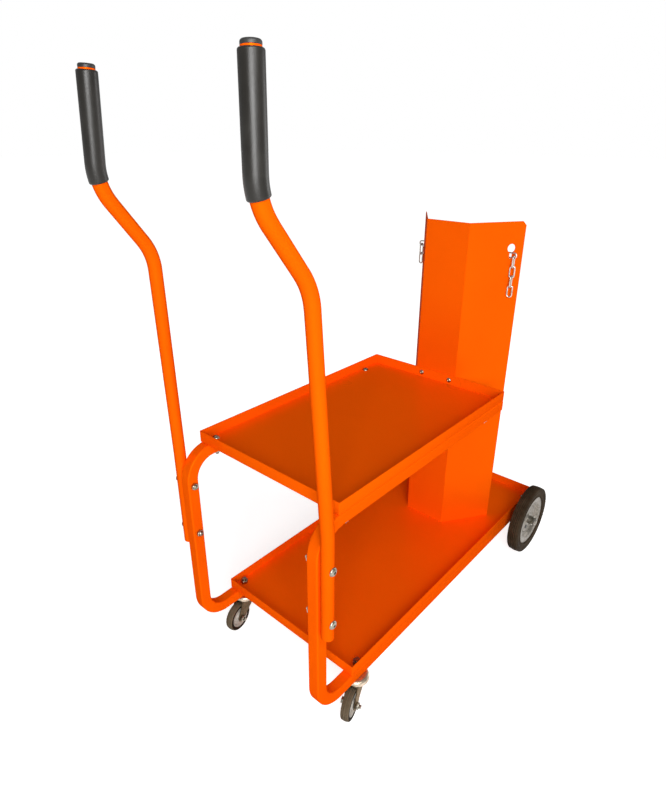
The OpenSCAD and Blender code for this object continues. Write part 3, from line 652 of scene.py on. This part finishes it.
# %% Hubs, plugs and the axle's nuts in place
AXLE_THREAD = 12.0
AXLE_NUT_H = 9.6
axle_nut = nut_shape(AXLE_THREAD, AXLE_NUT_H)
for side, sign in SIDES.items():
    centre = Vector(joints[side + "_wheel_spin"]["pos_m"])
    finish_piece(
        side + "_hub_tube", [(hub_shape, lying_along_x(centre, flip=sign < 0))], dull_zinc,
        side + "_wheel", [side + "_wheel_hub"],
    )
    finish_piece(
        side + "_rim_plug", [(plug_shape, lying_along_x(centre + PLUG_PLACE, flip=sign < 0))],
        black_plastic, side + "_wheel",
    )
nut_low, nut_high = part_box("axle_nuts")
right_x = nut_high.x - AXLE_NUT_H*MM
left_x = nut_low.x + AXLE_NUT_H*MM
axle = Vector(joints["right_wheel_spin"]["pos_m"])
finish_piece(
    "axle_hex_nuts",
    [
        (axle_nut, lying_along_x((right_x, axle.y, axle.z))),
        (axle_nut, lying_along_x((left_x, axle.y, axle.z), flip=True)),
    ],
    dull_zinc, "chassis", ["axle_nuts"],
)

# %% [markdown]
# ## Grips and caps
#
# The grips are sleeves of black foam, pushed on with soap or air. Foam has no crisp edge: it
# rounds over at both ends. Each grip covers the straight top of its handle and the last stretch
# of the bend under it. The caps are plastic plugs with a domed head.
#
# A matrix walks up the handle to the start of its straight top. From the knee above the side
# frame it leans inwards, tilts back, climbs to the first bend, follows it, and then turns almost
# upright again round the second one.

# %% Walk up a handle
HANDLE_R = 12.0
HANDLE_LEAN = math.radians(2.25)
HANDLE_TILT = math.radians(2.0)
HANDLE_RISE = 376.0
SWEEP_ANGLE = math.radians(36.5)
SWEEP_LEN = 79.0
BEND_R = 92.0
GRIP_TIP = math.radians(3.0)
KNEE = (200.3, 519.5)
CAP_H = 6.0
CAP_RING = 2.0
OVERALL_H = 1200.0
GRIP_LEN = 150.0
post_low, post_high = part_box("handle_bolts")
post_y = (post_low.y + post_high.y)/2


def bent(angle):
    """The move from the start of a bend to its end; a positive angle bends it back."""
    back = -math.copysign(BEND_R*(1 - math.cos(angle)), angle)
    return (
        Matrix.Translation((0, back*MM, BEND_R*math.sin(abs(angle))*MM))
        @ Matrix.Rotation(angle, 4, "X")
    )


def handle_top(side):
    sign = SIDES[side]
    return (
        Matrix.Translation((sign*KNEE[0]*MM, post_y, KNEE[1]*MM))
        @ Matrix.Rotation(-sign*HANDLE_LEAN, 4, "Y")
        @ Matrix.Rotation(HANDLE_TILT, 4, "X")
        @ Matrix.Translation((0, 0, HANDLE_RISE*MM))
        @ bent(SWEEP_ANGLE - HANDLE_TILT)
        @ Matrix.Translation((0, 0, SWEEP_LEN*MM))
        @ bent(-SWEEP_ANGLE - GRIP_TIP)
    )


top = handle_top("right")
slope = top.to_3x3() @ Vector((0, 0, 1))
CAP_FLAT_R = HANDLE_R - CAP_H/2
rim_rise = CAP_FLAT_R*math.sqrt(1 - slope.z*slope.z)
top_straight = ((OVERALL_H - rim_rise)*MM - top.translation.z)/slope.z/MM - CAP_H
print("straight top", round(top_straight, 2), "mm")

# %% [markdown]
# A sleeve is spun straight, with extra levels in the stretch that has to bend. Its lower end is
# then wrapped round the bend: the lower a point lies, the further it turns about the bend's middle.

# %% Foam grip
GRIP_R = 15.0
BORE_R = HANDLE_R + 0.05
FOOT_ROUND = 2.2
TOP_ROUND = 2.6
BEND_START = 4.0
BEND_STEPS = 10
LEVEL_GAP = 30.0
grip_bend = GRIP_LEN + CAP_RING - top_straight
bend_levels = [
    BEND_START + (grip_bend - BEND_START)*i/BEND_STEPS for i in range(BEND_STEPS + 1)
]
grip_levels = bend_levels + [grip_bend + LEVEL_GAP*i for i in range(1, 4)]
grip_profile = (
    [(BORE_R + 0.1, 0.3), (BORE_R + 0.5, 0.0)]
    + arc(GRIP_R - FOOT_ROUND, FOOT_ROUND, FOOT_ROUND, start=-90, end=0)
    + [(GRIP_R, z) for z in grip_levels]
    + arc(GRIP_R - TOP_ROUND, GRIP_LEN - TOP_ROUND, TOP_ROUND, start=0, end=90, steps=8)
    + [(BORE_R + 0.5, GRIP_LEN), (BORE_R, GRIP_LEN - 0.4)]
    + [(BORE_R, z) for z in reversed(grip_levels)]
)
grip_shape = spun(grip_profile, steps=72)
bmesh.ops.translate(grip_shape, vec=(0, 0, -grip_bend*MM), verts=grip_shape.verts[:])
for corner in grip_shape.verts:
    if corner.co.z < 0:
        turn = Matrix.Rotation(-corner.co.z/(BEND_R*MM), 4, "X")
        onto_start = Vector((corner.co.x, corner.co.y - BEND_R*MM, 0))
        corner.co = turn @ onto_start + Vector((0, BEND_R*MM, 0))

# %% End cap
CAP_ROUND = 3.1
PLUG_R = 10.3
PLUG_LEN = 16.0
CAP_LIFT = 0.05
cap_shape = spun(
    [(0.0, CAP_H), (4.5, CAP_H), (8.2, CAP_H - 0.1)]
    + arc(HANDLE_R - CAP_ROUND, CAP_H - 3.2, CAP_ROUND, start=80, end=0)
    + [
        (HANDLE_R, 0.6), (HANDLE_R - 0.4, CAP_LIFT), (PLUG_R, CAP_LIFT), (PLUG_R, 1.0 - PLUG_LEN),
        (PLUG_R - 1.0, -PLUG_LEN), (0.0, -PLUG_LEN),
    ],
    steps=64, closed=False,
)

# %% Grips and caps on both handles
for side in SIDES:
    top = handle_top(side)
    sleeve = finish_piece(
        side + "_foam_sleeve", [(grip_shape, top)], grip_foam, "chassis",
        [side + "_grip"],
    )
    finish_piece(
        side + "_end_cap", [(cap_shape, top @ Matrix.Translation((0, 0, top_straight*MM)))],
        black_plastic, "chassis", [side + "_handle_cap"],
    )

# %% [markdown]
# ## Trays
#
# Each tray is one sheet, notched at its corners, folded up on four sides and welded up the
# corners. A folded edge is round, not sharp, and that roundness catches the light. The tray
# starts as a box without a lid. Its folds are bevelled, and then the sheet gets its thickness.

# %% Folded trays
SHEET = 1.5
FOLD_R = 1.6


def soften(piece, name, width, angle):
    """Rounds a piece's sharp edges a little. width is in millimetres and angle in degrees."""
    softening = piece.modifiers.new(name, "BEVEL")
    softening.width = width*MM
    softening.segments = 2
    softening.limit_method = "ANGLE"
    softening.angle_limit = math.radians(angle)


def tray_shape(low, high):
    shape = bmesh.new()
    bmesh.ops.create_cube(shape, size=1.0)
    bmesh.ops.scale(shape, vec=high - low, verts=shape.verts[:])
    bmesh.ops.translate(shape, vec=(low + high)/2, verts=shape.verts[:])
    lid = [face for face in shape.faces if face.normal.z > 0.5]
    bmesh.ops.delete(shape, geom=lid, context="FACES_ONLY")
    folds = [edge for edge in shape.edges if len(edge.link_faces) == 2]
    bmesh.ops.bevel(
        shape, geom=folds, offset=FOLD_R*MM, offset_type="OFFSET", segments=4, profile=0.5,
        affect="EDGES", material=-1, clamp_overlap=True,
    )
    bmesh.ops.recalc_face_normals(shape, faces=shape.faces[:])
    return shape


for name in ("upper", "lower"):
    tray_low, tray_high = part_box(name + "_tray")
    tray = finish_piece(
        name + "_folded_tray", [(tray_shape(tray_low, tray_high), Matrix.Identity(4))],
        orange_paint, "chassis", [name + "_tray"],
    )
    thickness = tray.modifiers.new("sheet", "SOLIDIFY")
    thickness.thickness = SHEET*MM
    thickness.offset = -1.0
    thickness.use_even_offset = True
    soften(tray, "sheared_edge", width=0.35, angle=50)

# %% [markdown]
# ## Bolts, screws and nuts
#
# The trolley is held together with domed bolts and hexagon nuts. A domed head has a hexagon
# socket for its key. The stack of rings makes it in one go: the socket's floor and walls are
# hexagons, and the dome outside is round.

# %% Domed bolt with a socket
HEAD_WIDE = 1.05
HEAD_HIGH = 0.55
SOCKET_WIDE = 0.31
SOCKET_FLOOR = 0.45
SOCKET_TOP = 0.97
SOCKET_MOUTH = 1.18
DOME = ((0.55, 0.9), (0.75, 0.72), (0.9, 0.45), (1.0, 0.14), (1.0, 0.0))
THREAD_PITCH = 0.16
THREAD_ROOT = 0.87
CRESTS = 6
TIP_WIDE = 0.8
TIP_END = 0.72
TIP_CHAMFER = 0.1


def dome_bolt(thread, grip):
    """Head on Z = 0 and shank below it, which shows the crests of its thread at its end. thread is
    the diameter and grip the shank's length in millimetres. The head's sizes and the pitch are
    shares of thread, and DOME has shares of the head's radius and height."""
    rim = HEAD_WIDE*thread
    rise = HEAD_HIGH*thread
    socket = SOCKET_WIDE*thread
    shank = thread/2
    pitch = THREAD_PITCH*thread
    rings = [
        (socket, rise*SOCKET_FLOOR, True), (socket, rise*SOCKET_TOP, True),
        (socket*SOCKET_MOUTH, rise, False),
    ]
    rings += [(rim*wide, rise*high, False) for wide, high in DOME]
    rings += [(shank, 0.0, False), (shank, -grip + (CRESTS + 1)*pitch, False)]
    for i in range(2*CRESTS - 1):
        radius = shank if i % 2 else shank*THREAD_ROOT
        rings.append((radius, -grip + CRESTS*pitch - i*pitch/2, False))
    rings += [(shank*TIP_WIDE, -grip + TIP_CHAMFER, False), (shank*TIP_END, -grip, False)]
    return stacked(rings)


# %% Bolts and nuts that stand upright
SOLID_REACH = 0.03


def upright_boxes(node):
    """The box of each solid in a node. Vertices near each other, seen from above, are one solid."""
    found = []
    for vertex in nodes[node].data.vertices:
        flat = Vector((vertex.co.x, vertex.co.y, 0))
        for group in found:
            if (group[0] - flat).length < SOLID_REACH:
                group[1].append(vertex.co.copy())
                break
        else:
            found.append((flat, [vertex.co.copy()]))
    boxes = []
    for _, members in found:
        low = Vector([min(v[i] for v in members) for i in range(3)])
        high = Vector([max(v[i] for v in members) for i in range(3)])
        boxes.append((low, high))
    return boxes


def upright_bolts(name, node, thread):
    shapes = []
    for low, high in upright_boxes(node):
        rise = HEAD_HIGH*thread
        grip = (high.z - low.z)/MM - rise
        place = Matrix.Translation(((low.x + high.x)/2, (low.y + high.y)/2, high.z - rise*MM))
        shapes.append((dome_bolt(thread, grip), place))
    finish_piece(name, shapes, zinc, "chassis", [node])


def upright_nuts(name, node, thread):
    shapes = []
    for low, high in upright_boxes(node):
        place = Matrix.Translation(((low.x + high.x)/2, (low.y + high.y)/2, low.z))
        shapes.append((nut_shape(thread, (high.z - low.z)/MM), place))
    finish_piece(name, shapes, zinc, "chassis", [node])


upright_bolts("upper_tray_dome_bolts", "upper_tray_bolts", thread=8.0)
upright_bolts("lower_tray_dome_bolts", "lower_tray_bolts", thread=8.0)
upright_bolts("plate_foot_dome_bolts", "plate_foot_bolts", thread=6.0)
upright_nuts("upper_tray_hex_nuts", "upper_tray_nuts", thread=8.0)
upright_nuts("lower_tray_hex_nuts", "lower_tray_nuts", thread=8.0)
upright_nuts("plate_foot_hex_nuts", "plate_foot_nuts", thread=6.0)
upright_nuts("caster_stem_hex_nuts", "caster_stem_nuts", thread=10.0)

# %% [markdown]
# The handle bolts lie along X and the plate's two screws lie along Y. They use the same shapes,
# turned over.

# %% Handle bolts
handle_low, handle_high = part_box("handle_bolts")
nut_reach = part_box("handle_nuts")[1].x
HANDLE_THREAD = 8.0
NUT_HIGH = 0.8
head_rise = HEAD_HIGH*HANDLE_THREAD*MM
head_r = HEAD_WIDE*HANDLE_THREAD*MM
nut_h = NUT_HIGH*HANDLE_THREAD
bolt_y = (handle_low.y + handle_high.y)/2
bolt_heights = (handle_low.z + head_r, handle_high.z - head_r)
bolt_tip = min(abs(v.co.x) for v in nodes["handle_bolts"].data.vertices)
bolt_grip = (handle_high.x - head_rise - bolt_tip)/MM
bolt_shapes = []
nut_shapes = []
handle_bolt = dome_bolt(HANDLE_THREAD, bolt_grip)
handle_nut = nut_shape(HANDLE_THREAD, nut_h)
for sign in SIDES.values():
    head_x = sign*(handle_high.x - head_rise)
    nut_x = sign*(nut_reach - nut_h*MM)
    for z in bolt_heights:
        bolt_shapes.append((handle_bolt, lying_along_x((head_x, bolt_y, z), flip=sign < 0)))
        nut_shapes.append((handle_nut, lying_along_x((nut_x, bolt_y, z), flip=sign < 0)))
finish_piece("handle_dome_bolts", bolt_shapes, zinc, "chassis", ["handle_bolts"])
finish_piece("handle_hex_nuts", nut_shapes, zinc, "chassis", ["handle_nuts"])

# %% Plate screws
screw_low, screw_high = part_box("plate_screws")
SCREW_THREAD = 6.0
screw_rise = HEAD_HIGH*SCREW_THREAD
screw_rim = HEAD_WIDE*SCREW_THREAD
screw_z = (screw_low.z + screw_high.z)/2
screw_grip = (screw_high.y - screw_low.y)/MM - screw_rise
plate_screw = dome_bolt(SCREW_THREAD, screw_grip)
screw_nut_low, screw_nut_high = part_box("plate_screw_nuts")
plate_nut = nut_shape(SCREW_THREAD, (screw_nut_high.y - screw_nut_low.y)/MM)
head_y = screw_low.y + screw_rise*MM
to_rear = Matrix.Rotation(math.pi/2, 4, "X")
to_front = Matrix.Rotation(-math.pi/2, 4, "X")
screw_shapes = []
screw_nut_shapes = []
for sign in SIDES.values():
    x = sign*(screw_high.x - screw_rim*MM)
    screw_place = Matrix.Translation((x, head_y, screw_z))
    nut_place = Matrix.Translation((x, screw_nut_low.y, screw_z))
    screw_shapes.append((plate_screw, screw_place @ to_rear))
    screw_nut_shapes.append((plate_nut, nut_place @ to_front))
finish_piece("plate_dome_screws", screw_shapes, zinc, "chassis", ["plate_screws"])
finish_piece("plate_hex_nuts", screw_nut_shapes, zinc, "chassis", ["plate_screw_nuts"])

# %% [markdown]
# ## Casters
#
# A swivel caster has a bright round cover over its balls. The cover is fixed to the frame and
# the fork turns under it. A closed profile makes the cover: a flat top with a hole for the stem,
# a rounded shoulder, and a skirt that hides the balls.

# %% Caster covers
COVER_PROFILE = [
    (5.1, 89.0), (18.6, 89.0), (23.2, 88.2), (25.3, 86.6), (26.4, 84.0), (27.0, 80.4), (27.0, 79.0),
    (26.7, 78.7), (25.8, 78.7), (25.5, 79.2), (25.5, 83.0), (24.4, 84.0), (5.1, 84.0),
]
cover_shape = spun(COVER_PROFILE, steps=72)
for side in SIDES:
    swivel = Vector(joints[side + "_caster_swivel"]["pos_m"])
    finish_piece(
        side + "_caster_cover", [(cover_shape, Matrix.Translation((swivel.x, swivel.y, 0)))],
        warm_zinc, "chassis", [side + "_caster_head"],
    )

# %% [markdown]
# The fork is pressed from one sheet: a flat crown with a leg folded down on each side. It starts
# as a long channel with round folds. Planes then trim both legs at once to their tapered shape:
# round at the eye, where the axle goes through, and straight from there to the crown. Points on a
# leg are given as the distance in front of the stem and the height. Both casters stand turned a
# little, as they come to rest after a push.

# %% Caster forks
TURNS = {"left": math.radians(9.0), "right": math.radians(17.0)}
FORK_OUT = 13.0
FORK_SHEET = 2.0
FORK_FOLD_R = 4.0
CROWN_Z = 77.9
CROWN_HALF = 24.0
EYE = Vector((-32.0, 35.0))
EYE_R = 10.0
NOSE = Vector((22.5, 65.9))
EYE_STEPS = 7
CHANNEL_END = 20.0
CHANNEL_LEN = 80.0


def touching(point, side):
    """Where a line from point touches the eye's circle, as a turn about the eye's middle."""
    away = point - EYE
    return math.atan2(away.y, away.x) + side*math.acos(EYE_R/away.length)


def trim(shape, point, outward):
    """Cuts away what lies beyond a plane across the legs, and closes the cut ends."""
    cut = bmesh.ops.bisect_plane(
        shape, geom=shape.verts[:] + shape.edges[:] + shape.faces[:],
        plane_co=(0, point.x*MM, point.y*MM), plane_no=(0, outward.x, outward.y), clear_outer=True,
    )["geom_cut"]
    edges = [item for item in cut if isinstance(item, bmesh.types.BMEdge)]
    rims = [edge for edge in edges if len(edge.link_faces) < 2]
    bmesh.ops.holes_fill(shape, edges=rims, sides=0)


def fork_shape():
    shape = bmesh.new()
    fold = (FORK_OUT - FORK_FOLD_R, CROWN_Z - FORK_FOLD_R)
    half = [(FORK_OUT, CHANNEL_END)]
    half += arc(*fold, radius=FORK_FOLD_R, start=0, end=90, steps=5)
    inner = arc(*fold, radius=FORK_FOLD_R - FORK_SHEET, start=90, end=0, steps=5)
    inner.append((FORK_OUT - FORK_SHEET, CHANNEL_END))
    outline = half + [(-x, z) for x, z in reversed(half)]
    outline += [(-x, z) for x, z in reversed(inner)] + inner
    front = [shape.verts.new((x*MM, CROWN_HALF*MM, z*MM)) for x, z in outline]
    face = shape.faces.new(front)
    grown = bmesh.ops.extrude_face_region(shape, geom=[face])["geom"]
    far = [item for item in grown if isinstance(item, bmesh.types.BMVert)]
    bmesh.ops.translate(shape, vec=(0, -CHANNEL_LEN*MM, 0), verts=far)
    rear = Vector((-CROWN_HALF, CROWN_Z))
    start = touching(rear, 1)
    end = touching(NOSE, -1) + 2*math.pi
    for i in range(EYE_STEPS + 1):
        turn = start + (end - start)*i/EYE_STEPS
        outward = Vector((math.cos(turn), math.sin(turn)))
        trim(shape, EYE + outward*EYE_R, outward)
    edge = NOSE - Vector((CROWN_HALF, CROWN_Z))
    trim(shape, NOSE, Vector((-edge.y, edge.x)).normalized())
    bmesh.ops.recalc_face_normals(shape, faces=shape.faces[:])
    return shape


fork = fork_shape()
for side in SIDES:
    swivel = Vector(joints[side + "_caster_swivel"]["pos_m"])
    place = Matrix.Translation((swivel.x, swivel.y, 0)) @ Matrix.Rotation(TURNS[side], 4, "Z")
    piece = finish_piece(
        side + "_pressed_fork", [(fork, place)], fork_plate, side + "_caster",
        [side + "_caster_fork"],
    )
    soften(piece, "pressed_edge", width=0.5, angle=40)

# %% [markdown]
# A caster's wheel has a grey ribbed tread. On each side is a ring of the same rubber, coloured much
# darker, which is painted shade for the wheel's side that faces away from the light. The wheel sits
# on a plastic core, dished on both sides, with a boss for the bearing in the middle. All of them are
# spun, and then laid along the caster's own axle.

# %% Caster tyre
CASTER_R = 35.0
CASTER_HALF = 9.0
CORE_R = 25.0
SHADE_RING_OUT = 32.0
SHADE_RING_IN_Z = 8.2
CASTER_GROOVES = (2.3, 5.2)
CASTER_GROOVE_R = CASTER_R - 1.8
CASTER_GROOVE_TOP = 0.7
CASTER_GROOVE_FLOOR = 0.5
NEAR_FALL = 0.02
FAR_FALL = 0.03
CASTER_SHOULDER = (CASTER_R - 3.6, CASTER_HALF - 2.6)
CORE_FACE = [
    (6.0, 8.6), (9.6, 8.6), (10.4, 8.0), (11.2, 6.2), (13.0, 4.4), (17.0, 3.6), (19.4, 4.0),
    (22.2, 6.6), (23.4, 8.2), (24.2, 8.6), (24.8, 8.4), (25.0, 7.8),
]
# The painted shade ring on each side of a caster tyre.
SHADE_RING_PROFILE = [
    (CORE_R + 0.1, SHADE_RING_IN_Z), (SHADE_RING_OUT - 0.4, SHADE_RING_IN_Z), (SHADE_RING_OUT - 0.4, 8.7),
    (SHADE_RING_OUT - 0.8, 8.95), (CORE_R + 1.6, 8.95), (CORE_R + 0.5, 8.6),
]
CASTER_THREAD = 8.0


def caster_tyre_profile():
    half = [(CASTER_R, 0.0)]
    for groove in CASTER_GROOVES:
        near = CASTER_R - NEAR_FALL*groove*groove
        far = CASTER_R - FAR_FALL*groove*groove
        half += [
            (near, groove - CASTER_GROOVE_TOP), (CASTER_GROOVE_R, groove - CASTER_GROOVE_FLOOR),
            (CASTER_GROOVE_R, groove + CASTER_GROOVE_FLOOR), (far, groove + CASTER_GROOVE_TOP),
        ]
    half += arc(*CASTER_SHOULDER, radius=2.6, start=70, end=0, steps=5)
    half += [
        (SHADE_RING_OUT, CASTER_HALF), (SHADE_RING_OUT - 0.3, SHADE_RING_IN_Z), (CORE_R, SHADE_RING_IN_Z), (CORE_R, 0.0),
    ]
    return mirrored(half)


# %% Wheel parts
core_shape = spun(CORE_FACE + [(r, -z) for r, z in reversed(CORE_FACE)], steps=72)
caster_tyre = spun(caster_tyre_profile(), steps=96)
shade_ring_shapes = [
    spun([(r, sign*z) for r, z in SHADE_RING_PROFILE], steps=96) for sign in SIDES.values()
]
caster_nut = nut_shape(CASTER_THREAD, NUT_HIGH*CASTER_THREAD)

# %% Wheels on both casters
for side in SIDES:
    centre = Vector(joints[side + "_caster_spin"]["pos_m"])
    along_axle = Matrix.Rotation(TURNS[side], 4, "Z") @ Matrix.Rotation(math.pi/2, 4, "Y")
    place = Matrix.Translation(centre) @ along_axle
    nut_place = place @ Matrix.Translation((0, 0, FORK_OUT*MM))
    finish_piece(
        side + "_caster_tread", [(caster_tyre, place)], caster_rubber, side + "_caster_wheel",
        [side + "_caster_tyre"],
    )
    # Painted shade: dark rings on both sides of the tread stand in for the shade there.
    finish_piece(
        side + "_caster_painted_shade_rings", [(shape, place) for shape in shade_ring_shapes], painted_shade_rubber,
        side + "_caster_wheel",
    )
    finish_piece(
        side + "_caster_centre", [(core_shape, place)], core_plastic, side + "_caster_wheel",
        [side + "_caster_core"],
    )
    finish_piece(
        side + "_caster_hex_nut", [(caster_nut, nut_place)], zinc, side + "_caster",
        [side + "_caster_axle_nut"],
    )

# %% [markdown]
# ## Studio
#
# The trolley stands on a pale floor in a white room. The room is white to the camera, but it
# lights the object only a little, so the paint keeps its own colour. Bright metal needs something
# darker to mirror, or it looks flat, so reflections see the room as a mid grey.

# %% Room
WHITE = (1.0, 1.0, 1.0, 1.0)
ROOM_LIGHT = 0.11
ROOM_MIRROR = 0.4
world = bpy.data.worlds.new("studio_world")
bpy.context.scene.world = world
world.use_nodes = True
sky = world.node_tree
sky.nodes.clear()
rays = add_node(sky, "ShaderNodeLightPath")
seen = math_node(sky, "MAXIMUM", rays.outputs["Is Camera Ray"], rays.outputs["Is Transmission Ray"])
added = math_node(sky, "MULTIPLY", rays.outputs["Is Glossy Ray"], ROOM_MIRROR - ROOM_LIGHT)
shown = remap(sky, seen, low=0.0, high=1.0, to_low=ROOM_LIGHT)
room = add_node(sky, "ShaderNodeBackground")
room.inputs["Color"].default_value = WHITE
feed(sky, room.inputs["Strength"], math_node(sky, "ADD", shown, added))
sky_out = add_node(sky, "ShaderNodeOutputWorld")
sky.links.new(room.outputs["Background"], sky_out.inputs["Surface"])
print("room gives", ROOM_LIGHT, "and mirrors as", ROOM_MIRROR)

# %% [markdown]
# The floor has to look white and still show the trolley's shadow. Its paint is pale, and it
# glows a little, but only to the camera and in reflections, so the glow lights nothing. Where
# the trolley takes the lamps' light away, the sum falls below white and a soft shadow shows. The
# glow grows with the distance from the trolley, so the far part of the floor is as white as the
# room.

# %% Floor
FLOOR_SIZE = 60.0
FLOOR_GLOW = 0.78
GLOW_NEAR = 0.5
GLOW_FAR = 1.6
FLOOR_COLOUR = (0.7, 0.7, 0.7, 1.0)
FLOOR_ROUGHNESS = 0.9
floor_shape = bmesh.new()
bmesh.ops.create_grid(floor_shape, x_segments=1, y_segments=1, size=FLOOR_SIZE/2)
floor_mesh = bpy.data.meshes.new("studio_floor")
floor_shape.to_mesh(floor_mesh)
floor = bpy.data.objects.new("studio_floor", floor_mesh)
bpy.context.scene.collection.objects.link(floor)
floor_paint = bpy.data.materials.new("pale_floor")
floor_paint.use_nodes = True
floor_tree = floor_paint.node_tree
floor_shader = floor_tree.nodes["Principled BSDF"]
floor_shader.inputs["Base Color"].default_value = FLOOR_COLOUR
floor_shader.inputs["Roughness"].default_value = FLOOR_ROUGHNESS
floor_shader.inputs["Specular IOR Level"].default_value = 0.0
floor_shader.inputs["Emission Color"].default_value = WHITE
floor_place = add_node(floor_tree, "ShaderNodeTexCoord").outputs["Object"]
distance = add_node(floor_tree, "ShaderNodeVectorMath", operation="LENGTH")
feed(floor_tree, distance.inputs[0], floor_place)
level = remap(floor_tree, distance.outputs["Value"], GLOW_NEAR, GLOW_FAR, to_low=FLOOR_GLOW)
path = add_node(floor_tree, "ShaderNodeLightPath").outputs
glows = math_node(floor_tree, "MAXIMUM", path["Is Camera Ray"], path["Is Glossy Ray"])
glow = math_node(floor_tree, "MULTIPLY", glows, level)
feed(floor_tree, floor_shader.inputs["Emission Strength"], glow)
floor_mesh.materials.append(floor_paint)
print("floor", FLOOR_SIZE, "m wide")

# %% [markdown]
# Most of the light comes from one strong soft lamp on the camera's side. Two weak ones lift the
# plate and the trays, and one beyond the plate lights the edges that face away. All of them point
# at the middle of the trolley. Each has a place, a width in metres and a power in watts.

# %% Lamps
TARGET = Vector((0.0, 0.0, 0.5))
LAMPS = (
    ("camera_side_lamp", (1.9, -2.2, 1.5), 1.3, 68.0),
    ("plate_lamp", (1.6, -0.8, 1.9), 1.0, 9.0),
    ("tray_lamp", (0.9, -0.9, 1.7), 0.8, 6.5),
    ("far_side_lamp", (1.3, 2.6, 1.1), 1.1, 13.0),
)


def soft_lamp(name, place, size, power):
    lamp = bpy.data.lights.new(name, "AREA")
    lamp.shape = "SQUARE"
    lamp.size = size
    lamp.energy = power
    holder = bpy.data.objects.new(name, lamp)
    bpy.context.scene.collection.objects.link(holder)
    aim = (TARGET - Vector(place)).to_track_quat("-Z", "Y").to_matrix().to_4x4()
    holder.matrix_world = Matrix.Translation(place) @ aim


for settings in LAMPS:
    soft_lamp(*settings)
bpy.context.scene.view_settings.view_transform = "Standard"
print("lamps:", len(LAMPS))
